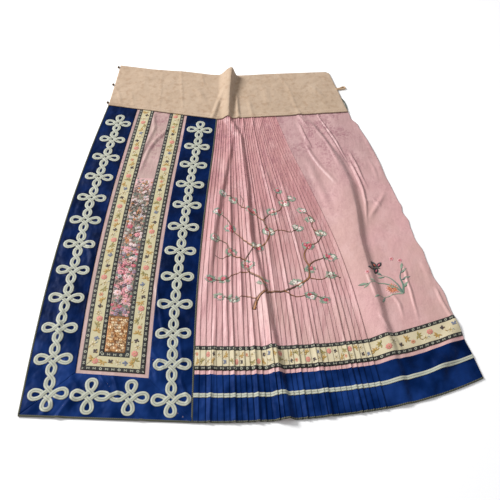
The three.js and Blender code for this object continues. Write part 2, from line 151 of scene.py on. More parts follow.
class Finish:
    """A material made of nodes."""

    def __init__(self, name, **shader):
        self.material = bpy.data.materials.new(name)
        self.material.use_nodes = True
        self.nodes = self.material.node_tree.nodes
        self.links = self.material.node_tree.links
        self.shader = self.nodes["Principled BSDF"]
        for socket, value in shader.items():
            self.shader.inputs[socket.replace("_", " ")].default_value = value

    def set(self, socket, value):
        if isinstance(value, Signal):
            self.links.new(value.socket, socket)
        else:
            socket.default_value = value

    def node(self, kind, settings, values, out=0):
        """A node of that kind: its settings come first, then what its sockets get."""
        node = self.nodes.new("ShaderNode" + kind)
        for name, setting in settings.items():
            setattr(node, name, setting)
        for name, value in values.items():
            self.set(node.inputs[name], value)
        return Signal(self, node.outputs[out])

    def maths(self, operation, *values):
        return self.node("Math", {"operation": operation}, dict(enumerate(values)))

    def paint(self, socket, value):
        self.set(self.shader.inputs[socket], value)

    def mixed(self, share, first, second):
        """A colour between two, by share."""
        values = {0: share, 6: first, 7: second}
        return self.node("Mix", {"data_type": "RGBA"}, values, out=2)

    def cloth_mm(self):
        """Millimetres across the cloth and up it, from its own map."""
        flat_map = self.node("UVMap", {}, {})
        return [
            self.node("SeparateXYZ", {}, {0: flat_map}, out=axis) * 1000 for axis in (0, 1)
        ]

    def noise(self, size_mm, detail=2.0, stretch=(1, 1, 1), roughness=0.5):
        """Even noise whose blots are about that wide; stretch lengthens them along an axis."""
        place = self.node("TexCoord", {}, {}, out=3)
        scaled = self.node(
            "VectorMath", {"operation": "MULTIPLY"}, {0: place, 1: tuple(1 / part for part in stretch)},
        )
        return self.node("TexNoise", {}, {
            "Vector": scaled, "Scale": 1 / (size_mm * mm), "Detail": detail, "Roughness": roughness,
        })

    def relief(self, height, depth_mm, strength=1.0, below=None):
        """A bump as deep as that, on top of another if one is given."""
        values = {"Height": height, "Distance": depth_mm * mm, "Strength": strength}
        if below is not None:
            values["Normal"] = below
        return self.node("Bump", {}, values)


table_mesh = bpy.data.meshes.new("table")
table_mesh.from_pydata([(-4, -4, 0), (4, -4, 0), (4, 4, 0), (-4, 4, 0)], [], [(0, 1, 2, 3)])
table = bpy.data.objects.new("table", table_mesh)
table.location.z = -0.3 * mm
scene.collection.objects.link(table)
table_finish = Finish("pale_table", Roughness=0.9, Emission_Color=(1, 1, 1, 1), Emission_Strength=0.05)
table_finish.paint("Base Color", table_finish.mixed(
    table_finish.noise(400), tint(246, 246, 246), tint(249, 249, 249),
))
table_mesh.materials.append(table_finish.material)

# The bordered panel's ground is a length of pink damask with a cotton lining. It
# lies flat on the table, with a few soft creases in its bare upper part, and is
# seen in two margins and above the embroidery.
edges = {  # the skirt's long edges and seams, hem to waist, at even steps of height
    "left": [(0, 0), (-13, 134), (-23, 268), (-28, 403), (-28, 538), (-24, 672), (-17, 807)],
    "seam": [(283, 10), (272, 138), (263, 267), (258, 396), (256, 525), (256, 654), (254, 783)],
    "last": [(605, 57.5), (581, 190), (556, 317), (523, 441), (481, 565), (435, 688), (396, 810)],
    "right": [(782, 127), (752, 247), (719, 369), (688, 490), (658, 611), (624, 730), (578, 847)],
}
edge_bumps = [  # on the free edge: how far up, how long, how far out in mm
    (0.245, 0.030, 3.4), (0.300, 0.020, -2.0), (0.385, 0.022, 2.8), (0.430, 0.018, -1.6),
    (0.497, 0.016, 3.0), (0.530, 0.012, -1.4), (0.556, 0.014, 2.4), (0.680, 0.03, -1.5),
    (0.10, 0.02, -1.5), (0.960, 0.014, -3.4), (0.928, 0.012, 2.2),
]
drop = {"left": 808, "seam": 775, "last": 860, "right": 800}
regions = {"panel": ("left", "seam"), "pleats": ("seam", "last"), "plain": ("last", "right")}
hem_sag = {"panel": (0, 1), "pleats": (8, 1), "plain": (6, 5)}  # mm at the middle, how fast it fades
folds = [  # the large folds: crest x, y, height, and its reach to the left and right
    [
        (446, 0, 9, 24, 14), (421, 118, 9, 24, 11), (382, 308, 7.5, 22, 8), (354, 424, 7, 20, 7),
        (341, 562, 7, 20, 7), (316, 716, 6.5, 18, 9), (281, 782, 9, 18, 12), (277, 877, 17, 30, 13),
        (276, 1010, 30, 38, 16),
    ], [
        (280, 200, 0, 14, 9), (281, 378, 4.5, 15, 7), (282, 458, 5.5, 15, 7), (290, 600, 5, 14, 7),
        (296, 700, 3, 12, 8), (294, 790, 0, 10, 12),
    ], [
        (648, 20, 0, 24, 14), (635, 111, 5, 30, 15), (615, 206, 8.5, 44, 16), (601, 301, 11.5, 60, 17),
        (588, 370, 12.5, 68, 17), (580, 424, 13, 74, 14), (577, 500, 12.5, 76, 15),
        (565, 585, 11.5, 70, 24), (541, 672, 8, 62, 18), (489, 778, 3, 44, 14), (452, 826, 0, 30, 14),
    ], [
        (676, 70, 0, 20, 20), (684, 91, 2, 22, 20), (719, 158, 7, 30, 28), (749, 232, 3, 22, 20),
        (757, 262, 0, 16, 14),
    ],
]
creases = [  # the small ones: their width to the left and right, then x, y, height along them
    # plain panel and pleats
    (3, 4, [(500, 832, 0), (506, 809, 3.2), (526, 767, 4.4), (544, 727, 4.4), (558, 687, 3), (571, 655, 0)]),
    (2.5, 11, [
        (497, 820, 0), (519, 767, 2.8), (537, 727, 3.4), (552, 688, 3), (566, 654, 1.5), (574, 630, 0),
    ]),
    (5, 4, [(571, 668, 0), (580, 639, 4), (590, 605, 5), (598, 571, 4.6), (602, 530, 3.4), (600, 457, 0)]),
    (2.5, 9, [(454, 790, 0), (459, 776, 2), (471, 737, 3), (481, 711, 2.4), (488, 694, 0)]),
    (9, 3, [(468, 714, 0), (473, 704, 2.2), (484, 674, 3), (503, 636, 2.8), (525, 600, 2.4), (542, 572, 0)]),
    (2.5, 8, [(450, 826, 0.6), (457, 810, 2.6), (467, 792, 2.8), (480, 768, 0)]),
    (4, 7, [(399, 980, 0.6), (426, 931, 1), (450, 842, 1.4), (464, 808, 1.6), (479, 779, 0)]),
    (8, 5, [(480, 790, 0), (492, 770, 1.5), (518, 722, 2.2), (540, 661, 2), (550, 625, 0)]),
    (3, 7, [(574, 698, 0), (580, 678, 2.8), (590, 648, 3.4), (598, 616, 3), (612, 575, 0)]),
    (6, 4, [(663, 372, 0), (669, 349, 2.6), (669, 329, 3), (674, 304, 3), (676, 282, 2.6), (682, 236, 0)]),
    (5, 5, [(586, 340, 0), (591, 323, 2), (599, 294, 2), (606, 262, 0)]),
    (6, 5, [(626, 310, 0), (631, 299, 2), (640, 288, 2.4), (649, 272, 2.4), (655, 232, 0)]),
    (7, 5, [(604, 246, 0), (609, 233, 2.4), (622, 213, 2.6), (633, 192, 2), (646, 160, 0)]),
    (16, 14, [(600, 215, 0), (624, 186, 3), (648, 150, 2.4), (668, 104, 0)]),
    (20, 16, [(690, 215, 0), (700, 180, 2.5), (708, 138, 2), (712, 96, 0)]),
    (9, 9, [(600, 800, 0), (620, 740, 1.6), (640, 670, 1.2), (655, 560, 0)]),
    (14, 12, [(455, 690, 0), (480, 640, 2), (512, 540, 2.2), (530, 470, 0)]),
    (10, 9, [(500, 840, 0), (545, 812, 1.4), (590, 806, 0)]),
    (5, 7, [(598, 532, 0), (606, 538, 2), (619, 543, 2.6), (634, 527, 2.2), (656, 522, 1.4), (676, 518, 0)]),
    (5, 9, [(604, 480, 0), (618, 510, 3), (636, 545, 2.8), (650, 574, 0)]),
    (5, 6, [(724, 320, 0), (727, 308, 2.2), (732, 286, 2.8), (744, 254, 2.4), (756, 224, 0)]),
    (10, 8, [(650, 700, 0), (668, 640, 1.5), (676, 590, 0)]),
    (12, 9, [(700, 400, 0), (712, 352, 1.6), (716, 318, 0)]),
    (6, 7, [(616, 680, 0), (630, 640, 1.4), (634, 606, 0)]),
    # bordered panel: bare silk above the embroidery
    (5, 7, [(98, 800, 0), (103, 760, 3.4), (110, 728, 3.2), (104, 700, 2.4), (96, 655, 3.0), (90, 610, 0)]),
    (6, 4, [(150, 748, 0), (134, 716, 3.6), (118, 688, 4), (106, 650, 3.4), (101, 600, 2.6), (98, 566, 0)]),
    (4, 5, [(112, 735, 0), (124, 727, 1.4), (136, 733, 0)]),
    (5, 6, [(84, 770, 0), (86, 726, 1.2), (80, 690, 0)]),
    (5, 5, [(162, 790, 0), (157, 742, 1.1), (152, 700, 0)]),
    # waistband
    (4, 3, [(142, 970, 0.8), (147, 930, 1.3), (157, 870, 1.2), (166, 812, 1.0)]),
    (3, 4, [(96, 950, 0), (97, 915, 0.9), (104, 860, 1.0), (109, 806, 0.8)]),
    (9, 9, [(262, 905, 0), (256, 868, 3), (250, 830, 3.6), (244, 786, 2.4)]),
    (8, 7, [(291, 905, 0), (297, 862, 3), (302, 820, 3.4), (306, 792, 2.2)]),
    (7, 8, [(322, 885, 0), (330, 846, 1.6), (340, 802, 1.2)]),
    (14, 16, [(20, 940, 0), (60, 925, 1.6), (110, 930, 0)]),
    (12, 14, [(180, 915, 0), (205, 870, 1.8), (225, 820, 0)]),
    (5, 6, [(-14, 880, 0), (0, 850, 1.4), (12, 812, 1.2)]),
    (4, 5, [(30, 860, 0), (36, 834, 1.2), (46, 808, 1.0)]),
    (16, 14, [(360, 930, 0), (372, 880, 1.6), (376, 830, 0)]),
    (10, 12, [(480, 960, 0), (500, 920, 1.4), (526, 880, 0)]),
    (5, 4, [(196, 958, 0.5), (204, 930, 1.2), (210, 905, 0)]),
    # gathers of the pleats just under the waistband
    (5, 5, [(300, 700, 0), (299, 745, 2.0), (296, 782, 1.4)]),
    (5, 5, [(318, 690, 0), (319, 742, 2.2), (318, 786, 1.4)]),
    (5, 6, [(338, 712, 0), (341, 752, 2.0), (342, 792, 1.4)]),
    (5, 5, [(356, 735, 0), (362, 770, 1.6), (364, 798, 1.2)]),
    (12, 10, [(360, 640, 0), (380, 600, 2.4), (400, 530, 2.8), (424, 440, 1.6), (440, 380, 0)]),
    (9, 7, [(300, 560, 0), (306, 500, 2.6), (312, 420, 2.6), (318, 340, 0)]),
    (9, 6, [(306, 400, 0), (310, 340, 3.2), (316, 270, 3.6), (324, 190, 2), (330, 140, 0)]),
    (8, 6, [(334, 420, 0), (338, 350, 3), (346, 270, 3), (354, 200, 0)]),
    (9, 6, [(364, 560, 0), (376, 480, 3), (392, 400, 3.2), (408, 300, 2.4), (420, 220, 0)]),
    (8, 6, [(404, 640, 0), (424, 540, 2.2), (446, 430, 2.4), (466, 330, 0)]),
    (7, 6, [(300, 250, 0), (303, 170, 2.4), (308, 60, 2.8), (310, -4, 1.6)]),
    (8, 7, [(366, 260, 0), (376, 170, 2.6), (388, 70, 2.8), (392, -8, 1.8)]),
    (9, 8, [(470, 240, 0), (490, 150, 2.2), (508, 50, 2.6), (512, 0, 1.6)]),
    # satin border
    (4, 14, [(60, -2, 1.5), (66, 12, 4.2), (74, 30, 3.6), (87, 50, 0)]),
    (7, 8, [(34, 0, 0.4), (46, 22, 2.4), (60, 56, 0)]),
    (6, 5, [(238, 190, 0), (242, 163, 2.8), (251, 124, 2.6), (254, 100, 0)]),
    (5, 6, [(252, 98, 0), (257, 77, 2.4), (270, 50, 2.6), (277, 26, 0)]),
    (6, 5, [(236, 40, 0), (251, 33, 2.2), (278, 15, 2.4), (284, 8, 0)]),
    (5, 7, [(194, 140, 0), (201, 130, 2.2), (221, 104, 2.2), (229, 88, 0)]),
    (4, 6, [(116, 82, 0.6), (124, 72, 2.4), (137, 54, 2), (146, 38, 0)]),
    (6, 4, [(138, 82, 0.5), (142, 74, 2.2), (152, 52, 2), (156, 36, 0)]),
    (6, 7, [(180, 300, 0), (184, 273, 2), (202, 209, 2.6), (210, 179, 2.2), (212, 150, 0)]),
    (6, 5, [(192, 124, 0), (200, 110, 2.4), (210, 93, 2.2), (216, 70, 0)]),
    (6, 9, [(28, 380, 0), (33, 362, 2), (46, 336, 2), (50, 300, 0)]),
    (6, 8, [(8, 250, 0), (20, 214, 2), (24, 170, 2.4), (38, 120, 0)]),
    (5, 7, [(58, 92, 0), (66, 78, 2.2), (82, 60, 2), (92, 44, 0)]),
    (5, 6, [(176, 24, 0), (190, 16, 1.8), (206, 2, 1), (208, -2, 0)]),
    (8, 8, [(196, 470, 0), (200, 430, 1), (196, 380, 0)]),
    (8, 8, [(-16, 500, 0), (-8, 470, 1), (-4, 420, 0)]),
]
swell_waves = [  # the slow unevenness of laid cloth: wave along x and y, start, height
    (0.041, 0.013, 0.4, 0.30), (-0.019, 0.037, 2.1, 0.26), (0.083, -0.027, 4.0, 0.16),
    (0.031, 0.090, 1.2, 0.14), (-0.115, 0.052, 5.1, 0.08), (0.062, 0.148, 3.3, 0.06),
]
skin = 1.1  # the ground's face above the table where nothing lifts it
ground_wall = 1.0


def passing(before, start, end, after, t):
    """Catmull-Rom: the place at share t of the way from start to end."""
    leave, arrive = (end - before) / 2, (after - start) / 2
    bend = 2 * (start - end) + leave + arrive
    swing = 3 * (end - start) - 2 * leave - arrive
    return ((bend * t + swing) * t + leave) * t + start


def stacked(*parts):
    """Arrays of one shape, or that spread to it, side by side on a last axis."""
    return np.stack(np.broadcast_arrays(*parts), -1)


def unit(ways):
    """The same ways, each one long."""
    return ways / np.linalg.norm(ways, axis=-1, keepdims=True)


def far_along(line):
    """How far each place is from the first, along the line."""
    return np.concatenate([[0], np.cumsum(np.linalg.norm(np.diff(line, axis=0), axis=1))])


def edge_place(name, level):
    """A smooth line through one edge's places; level runs from 0 at the hem to 1 at the waist."""
    rows = np.array(edges[name], float)
    last = len(rows) - 1
    place = np.asarray(level, float) * last
    step = np.clip(np.floor(place).astype(int), 0, last - 1)
    t = (place - step)[..., None]
    padded = np.vstack([2 * rows[0] - rows[1], rows, 2 * rows[-1] - rows[-2]])
    place = passing(*(padded[step + k] for k in range(4)), t)
    if name == "right":  # the free edge isn't quite straight
        for at, wide, out in edge_bumps:
            bump = np.exp(-((np.asarray(level, float) - at) / wide) ** 2)
            place = place + bump[..., None] * (out, out * 0.4)
    return place


def plan(region, across, height):
    """x and y of a place on a region: share of its width, and mm above the hem."""
    first, second = regions[region]
    across, height = np.broadcast_arrays(np.asarray(across, float), np.asarray(height, float))
    if region == "panel":  # the border's foot is sewn on a little low, and lower toward the pleats
        lowered = 1 + 4.5 * np.clip((across - 0.29) / 0.44, 0, 1)
        height = height - lowered * np.interp(height, (0, 60, 110, 320), (0, 1, 1, 0))
    level = np.minimum(height / (drop[first] + (drop[second] - drop[first]) * across), 1.004)
    a, b = edge_place(first, level), edge_place(second, level)
    place = a + (b - a) * across[..., None]
    deep, fade = hem_sag[region]
    sag = deep * 4 * across * (1 - across) * (1 - np.minimum(level, 1)) ** fade
    return place[..., 0], place[..., 1] - sag


def rise(x, y):
    """How far folds and creases lift the cloth off the table there."""
    x, y = np.broadcast_arrays(x, y)
    height = np.zeros(x.shape)
    for rows in folds:
        table_rows = np.array(rows, float).T  # x, y, height and the two reaches
        ridge, high, left, right = (np.interp(y, table_rows[1], table_rows[k]) for k in (0, 2, 3, 4))
        inside = (y >= rows[0][1]) & (y <= rows[-1][1] + 60)
        aside = x - ridge
        share = np.minimum(np.abs(aside) / np.where(aside < 0, left, right), 1)
        height = np.maximum(height, np.where(inside, high * np.cos(share * np.pi / 2) ** 2, 0))
    for left, right, line in creases:
        places = np.array(line, float)
        reach = max(left, right)
        near = (
            (x > places[:, 0].min() - reach) & (x < places[:, 0].max() + reach)
            & (y > places[:, 1].min() - reach) & (y < places[:, 1].max() + reach)
        )
        if not near.any():
            continue
        px, py = x[near], y[near]
        best = np.zeros(px.shape)
        for start, end in zip(places[:-1], places[1:]):
            along = end[:2] - start[:2]
            length = np.hypot(*along)
            t = np.clip(((px - start[0]) * along[0] + (py - start[1]) * along[1]) / length**2, 0, 1)
            dx, dy = px - start[0] - t * along[0], py - start[1] - t * along[1]
            side = along[0] * dy - along[1] * dx
            share = np.minimum(np.hypot(dx, dy) / np.where(side > 0, left, right), 1)
            crest = start[2] + t * (end[2] - start[2])
            best = np.maximum(best, crest * np.cos(share * np.pi / 2) ** 2)
        height[near] += best
    for along_x, along_y, start, high in swell_waves:
        height = height + high * (1 + np.sin(along_x * x + along_y * y + start)) / 2
    return height


def on_cloth(region, across, height, over=0.0):
    """x, y and z of a place on a region's cloth, or that far above its skin."""
    x, y = plan(region, across, height)
    return x, y, rise(x, y) + skin + over


def add_mesh(name, places, faces, finish, flat_map=None):
    """A mesh from places in mm; flat_map gives each place's spot on the flat cloth, in mm."""
    mesh = bpy.data.meshes.new(name)
    mesh.from_pydata((np.asarray(places) * mm + corner).tolist(), [], faces)
    mesh.polygons.foreach_set("use_smooth", [True] * len(mesh.polygons))
    if flat_map is not None:
        corners = np.zeros(len(mesh.loops), np.int32)
        mesh.loops.foreach_get("vertex_index", corners)
        layer = mesh.uv_layers.new(name="cloth")
        layer.data.foreach_set("uv", (np.asarray(flat_map)[corners] * mm).ravel())
    mesh.materials.append(finish.material)
    piece = bpy.data.objects.new(name, mesh)
    scene.collection.objects.link(piece)
    return piece


def joined(*corners):
    """Faces from arrays of corners: each array gives every face one of its corners."""
    return stacked(*corners).reshape(-1, len(corners)).tolist()


def band_faces(count, around):
    """Faces of a closed band: count rings with that many places round each."""
    index = np.arange(count * around).reshape(count, around)
    beside = np.roll(index, -1, 1)
    sides = joined(index[:-1], beside[:-1], beside[1:], index[1:])
    return sides + [index[0, ::-1].tolist(), index[-1].tolist()]


def add_wall(name, face, back, flat_map, finish):
    """A closed sheet from two grids of places: rows up the cloth, columns across it."""
    rows, columns = face.shape[:2]
    top = np.arange(rows * columns).reshape(rows, columns)
    low = top + rows * columns
    faces = joined(top[:-1, :-1], top[:-1, 1:], top[1:, 1:], top[1:, :-1])
    faces += joined(low[:-1, :-1], low[1:, :-1], low[1:, 1:], low[:-1, 1:])
    faces += joined(low[0, :-1], low[0, 1:], top[0, 1:], top[0, :-1])
    faces += joined(low[-1, 1:], low[-1, :-1], top[-1, :-1], top[-1, 1:])
    faces += joined(low[1:, 0], low[:-1, 0], top[:-1, 0], top[1:, 0])
    faces += joined(low[:-1, -1], low[1:, -1], top[1:, -1], top[:-1, -1])
    places = np.concatenate([face.reshape(-1, 3), back.reshape(-1, 3)])
    spots = np.concatenate([flat_map.reshape(-1, 2)] * 2)
    return add_mesh(name, places, faces, finish, spots)


def lay_sheet(name, region, across, height, over, wall, finish, flat_map=None):
    """A sheet on a region's skin: over is how far its face stands above the skin."""
    across, height = np.broadcast_arrays(across, height)
    face = stacked(*on_cloth(region, across, height, over))
    if flat_map is None:
        flat_map = stacked(face[..., 0], height)
    return add_wall(name, face, face - (0, 0, wall), flat_map, finish)


def stand_in(piece, node):
    """The piece shows in place of a CAD node and rides with the whole skirt."""
    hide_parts(node)
    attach(piece, "root")
    return piece


def silk_finish(name, upper, low, high, depth, streaking):
    """Pink damask: a satin ground with dull mauve flowers and leaves woven into it.
    Between two heights it goes over to the upper colour by a share; by the last share, darker fine streaks
    run up it, and pale patches of painted sheen lie over it."""
    silk = Finish(name, Sheen_Weight=0.08, Sheen_Roughness=0.4, Specular_IOR_Level=0.35)
    across, up = silk.cloth_mm()
    flowers = []
    for wide, tall, shift, petals, size in ((74, 88, 0, 5, 13), (74, 88, 0.5, 6, 9)):
        x = ((across / wide + shift).part(1) - 0.5) * wide
        y = ((up / tall + shift).part(1) - 0.5) * tall
        round_it = silk.maths("ARCTAN2", y, x)
        far = silk.maths("SQRT", x * x + y * y)
        rim = size + silk.maths("SINE", round_it * petals) * size * 0.32
        flowers.append((rim - far).soft(-0.5, 1.2) * (far / rim).away(0.62).soft(0.05, 0.13))
        flowers.append((rim + 9 - far).soft(0, 1.5) * (far - rim).soft(5.5, 7)
                       * silk.maths("SINE", round_it * 4).soft(0.1, 0.4))
    sprays = silk.noise(11, 3, (1, 1.5, 1)).soft(0.5, 0.57) * silk.noise(55, 2).soft(0.44, 0.56)
    figure = flowers[0]
    for flower in flowers[1:]:
        figure = silk.maths("MAXIMUM", figure, flower)
    leaves = silk.noise(4.5, 4, (1, 1.3, 1), 0.65).soft(0.5, 0.56) * silk.noise(26, 3).soft(0.44, 0.56)
    figure = silk.maths("MAXIMUM", figure * 0.6 + sprays * 0.5, leaves)
    high_up = up.soft(380, 720)
    shown = figure * (0.2 + 0.8 * high_up) * silk.noise(90).soft(0.3, 0.6)
    body = silk.mixed(silk.noise(130, 3).soft(0.35, 0.65), tint(208, 161, 160), tint(194, 156, 148))
    body = silk.mixed(up.soft(low, high) * depth, body, upper)
    # pale patches of painted sheen over the silk
    sheen_patches = silk.noise(46, 4, (1, 1.5, 1), 0.6).soft(0.45, 0.7)
    body = silk.mixed(sheen_patches * 0.35, body, tint(218, 184, 182))
    threads = silk.noise(0.5, 1, (1, 9, 1))
    streaks = silk.noise(3.2, 2, (1, 22, 1)).soft(0.42, 0.7)
    worn = silk.mixed((threads - 0.5) * 0.35 + 0.2, body, tint(212, 170, 170))
    worn = silk.mixed(streaks * streaking, worn, tint(152, 98, 102))
    silk.paint("Base Color", silk.mixed(shown * 0.62, worn, tint(136, 82, 96)))
    silk.paint("Roughness", 0.42 + 0.16 * shown + 0.08 * silk.noise(30))
    crumple = silk.relief(silk.noise(24, 4, (1, 1.6, 1), 0.6), 2.8, 0.65)
    crumple = silk.relief(silk.noise(5, 2, (1, 7, 1)) * (streaking + 0.7 * high_up), 1.2, 0.6, crumple)
    silk.paint("Normal", silk.relief(threads, 0.12, 0.5, crumple))
    return silk


pink_silk = silk_finish("pink_damask", tint(166, 134, 134), 330, 740, 0.75, 0.05)
# The panel's silk is greyed all over toward a dull beige, partly as painted shade in the margins beside the
# raised ribbons.
panel_damask = silk_finish("panel_damask", tint(146, 138, 126), -400, -200, 0.62, 0.05)
panel_columns = np.linspace(0, 1, 98)
panel_rows = np.linspace(0, drop["left"], 130)[:, None]
panel_ground = lay_sheet("panel_silk", "panel", panel_columns, panel_rows, 0, ground_wall, panel_damask)
stand_in(panel_ground, "panel_ground")

# The pleated ground is one width of the same silk, laid in thirty-two knife pleats
# that face right. Each fold's edge stands up a little and its cloth goes back
# under it; the pleats narrow and flatten toward the waist.
pleat_count = 32
pleat_step = {"hem": 1.8, "waist": 1.1}
pleat_wall = 0.6
pleat_cloth, pleat_face = 31, 10.5  # mm of cloth in each pleat, and in its seen part
pleat_line = np.array([  # one pleat's section: share of its width, share of its step
    (0.02, 0), (0.12, 0.05), (0.30, 0.18), (0.50, 0.40), (0.70, 0.68), (0.86, 0.90), (0.95, 1),
    (1.00, 0.94), (0.995, 0.70), (0.95, 0.40), (0.92, 0.10),
])
pleat_seen = 8  # how many of those points show from above
chance = np.random.default_rng(32)
fold_shift = np.pad(chance.uniform(-0.13, 0.13, pleat_count - 1), 1)
fold_sway = np.pad(chance.uniform(0.02, 0.08, pleat_count - 1), 1)
fold_rate = chance.uniform(0.010, 0.026, pleat_count + 1)
fold_phase = chance.uniform(0, 6.28, pleat_count + 1)
fold_strength = chance.uniform(0.3, 1.35, pleat_count)
fold_strength[[6, 13, 18, 27]] = 1.8


def fold_lines(height):
    """Where the fold lines lie at a height, counted in pleats from the seam."""
    height = np.asarray(height, float)[..., None]
    return np.arange(pleat_count + 1) + fold_shift + fold_sway * np.sin(fold_rate * height + fold_phase)


def pleat_rise(height, pleat):
    """How far a pleat's edge stands up at a height."""
    level = np.clip(height / drop["seam"], 0, 1)
    step = pleat_step["hem"] + (pleat_step["waist"] - pleat_step["hem"]) * level
    pressed = 1 - 0.5 * np.clip((pleat - 20) / 8, 0, 1) * np.clip((level - 0.45) / 0.3, 0, 1)
    return step * fold_strength[pleat] * pressed


def pleat_spots(across, height):
    """The lift of a pleat's face at shares of the region's width."""
    across, height = np.broadcast_arrays(np.asarray(across, float), np.asarray(height, float))
    lines = fold_lines(height)
    count = np.clip(across, 0, 1) * pleat_count
    pleat = np.clip((lines <= count[..., None]).sum(-1) - 1, 0, pleat_count - 1)
    start = np.take_along_axis(lines, pleat[..., None], -1)[..., 0]
    end = np.take_along_axis(lines, pleat[..., None] + 1, -1)[..., 0]
    seen = pleat_line[:pleat_seen]
    return np.interp((count - start) / (end - start), seen[:, 0], seen[:, 1]) * pleat_rise(height, pleat)


def pleat_grid(heights, over):
    """Places, and spots on the flat cloth, of a layer that follows every pleat."""
    heights = np.asarray(heights, float)
    lines = fold_lines(heights)
    first, second = plan("pleats", 0, heights), plan("pleats", 1, heights)
    pitch = np.hypot(second[0] - first[0], second[1] - first[1])[:, None, None] / pleat_count
    pleat = np.arange(pleat_count)
    start, width = lines[:, :-1, None], np.diff(lines, axis=-1)[..., None]
    x = (start + pleat_line[:, 0] * width) * pitch
    z = pleat_line[:, 1] * pleat_rise(heights[:, None], pleat)[..., None]
    x, z = x.reshape(len(heights), -1), z.reshape(len(heights), -1)
    dx, dz = np.gradient(x, axis=1), np.gradient(z, axis=1)
    length = np.hypot(dx, dz)
    x, z = x - over * dz / length, z + over * dx / length
    across = x / (pitch[:, 0] * pleat_count)
    px, py = plan("pleats", across, heights[:, None])
    places = stacked(px, py, rise(px, py) + skin + z)
    cloth = (pleat[:, None] * pleat_cloth + pleat_line[:, 0] * pleat_face).ravel()
    return places, stacked(cloth, heights[:, None])


def lay_pleated(name, heights, over, wall, finish):
    face, flat_map = pleat_grid(heights, over)
    back, _ = pleat_grid(heights, over - wall)
    return add_wall(name, face, back, flat_map, finish)


# Upward from the hem bands the pleated silk is painted darker and deeper mauve, partly as painted shade
# between the pleats.
pleated_silk = silk_finish("pleated_damask", tint(160, 94, 96), 130, 560, 0.62, 0.5)
skirt_rows = np.concatenate([np.linspace(0, 150, 24)[:-1], np.linspace(150, 864, 84)])
pleats_ground = lay_pleated("pleats_silk", skirt_rows, 0, pleat_wall, pleated_silk)
stand_in(pleats_ground, "pleats_ground")

# The plain panel closes the skirt at the right: the same silk, unpleated, with one
# long low hump, a lifted hem corner and a few sharp creases.
plain_columns = np.linspace(0, 1, 132)
plain_rows = np.linspace(0, drop["last"] + 3, 176)[:, None]
plain_ground = lay_sheet("plain_silk", "plain", plain_columns, plain_rows, 0, ground_wall, pink_silk)
stand_in(plain_ground, "plain_ground")

# The border is blue satin in three strips, mitred at the panel's two lower corners,
# and the hem bands are the same satin. It is soft and puckers under the braid.
border_foot = 81
panel_wide = 283
band_top = 86

satin = Finish(
    "blue_satin", Sheen_Weight=0.02, Sheen_Roughness=0.35, Sheen_Tint=tint(60, 110, 200),
    Specular_IOR_Level=0.14, Specular_Tint=tint(70, 110, 200),
)
satin_sheen_low, satin_sheen_high = ground_low.y + 0.07, ground_low.y + 0.21  # a painted sheen lightens the foot; deeper navy above
satin_threads = satin.noise(0.45, 1, (8, 1, 1))
# The lighter blue patches and the lighter foot are painted sheen; the navy above is the satin's own.
satin_sheen_patches = satin.noise(48, 3).soft(0.38, 0.66)
satin_up = satin.node("SeparateXYZ", {}, {0: satin.node("TexCoord", {}, {}, out=3)}, out=1)
satin_sheened_foot = satin.mixed(satin_sheen_patches, tint(4, 28, 72), tint(22, 50, 106))
satin_head = satin.mixed(satin_sheen_patches, tint(0, 10, 38), tint(3, 26, 70))
satin_body = satin.mixed(satin_up.soft(satin_sheen_low, satin_sheen_high), satin_sheened_foot, satin_head)
satin.paint("Base Color", satin.mixed(satin_threads.soft(0.35, 0.8) * 0.2, satin_body, tint(16, 44, 98)))
satin.paint("Roughness", 0.4 + 0.14 * satin.noise(24, 3))
satin_pucker = satin.relief(satin.noise(34, 2.5, (1, 1.5, 1)), 8.5, 0.9)
satin_pucker = satin.relief(satin.noise(9, 3, (1.6, 1, 1)), 0.8, 0.7, satin_pucker)
satin.paint("Normal", satin.relief(satin_threads, 0.1, 0.4, satin_pucker))
satin_layer = (0.7, 0.6, satin)  # its face above the ground's, its wall and its finish


def border_edge(side, height):
    """The satin border's inner edge at a height, as a share of the panel's width."""
    hem, waist = {"left": (0.292, 0.269), "right": (0.729, 0.726)}[side]
    return hem + (waist - hem) * height / drop["left"]


def inside_border(side, height, inset):
    """A place that many mm inside the border's inner edge, as a share of the panel's width;
    with None, the panel's own edge on that side."""
    if inset is None:
        return np.full(np.shape(height), float(side == "right"))
    inward = 1 if side == "left" else -1
    return border_edge(side, height) + inward * inset / panel_wide


def lay_upright(name, side, outer, inner, foot_low, foot_high, layer, columns, rows):
    """A mitred strip up one side of the panel, between two insets from the border's edge."""
    t = np.linspace(0, 1, columns)
    t = t if side == "left" else 1 - t
    height = foot_low + (foot_high - foot_low) * t
    height = height + (drop["left"] - height) * np.linspace(0, 1, rows)[:, None]
    near, far = (inside_border(side, height, inset) for inset in (outer, inner))
    breadth = border_edge("left", 0) * panel_wide if outer is None else inner - outer
    return lay_sheet(name, "panel", near + (far - near) * t, height, *layer, stacked(t * breadth, height))


def lay_foot(name, outer, inner, foot_low, foot_high, layer, columns, rows):
    """The mitred strip across the panel's foot, between the two uprights."""
    height = np.linspace(foot_low, foot_high, rows)[:, None]
    t = (height - foot_low) / (foot_high - foot_low)
    ends = []
    for side in ("left", "right"):
        near, far = (inside_border(side, height, inset) for inset in (outer, inner))
        ends.append(near + (far - near) * t)
    across = ends[0] + (ends[1] - ends[0]) * np.linspace(0, 1, columns)
    flat_map = stacked(height - foot_low, across * panel_wide)
    return lay_sheet(name, "panel", across, height, *layer, flat_map)


def lay_strips(name, node, limits, layer, side_grid, foot_grid):
    """Three mitred strips that frame the panel, by the CAD nodes that they stand for."""
    strips = {
        f"panel_{node}_{side}": lay_upright(f"{name}_{side}", side, *limits, layer, *side_grid)
        for side in ("left", "right")
    }
    strips[f"panel_{node}_bottom"] = lay_foot(f"{name}_bottom", *limits, layer, *foot_grid)
    return strips


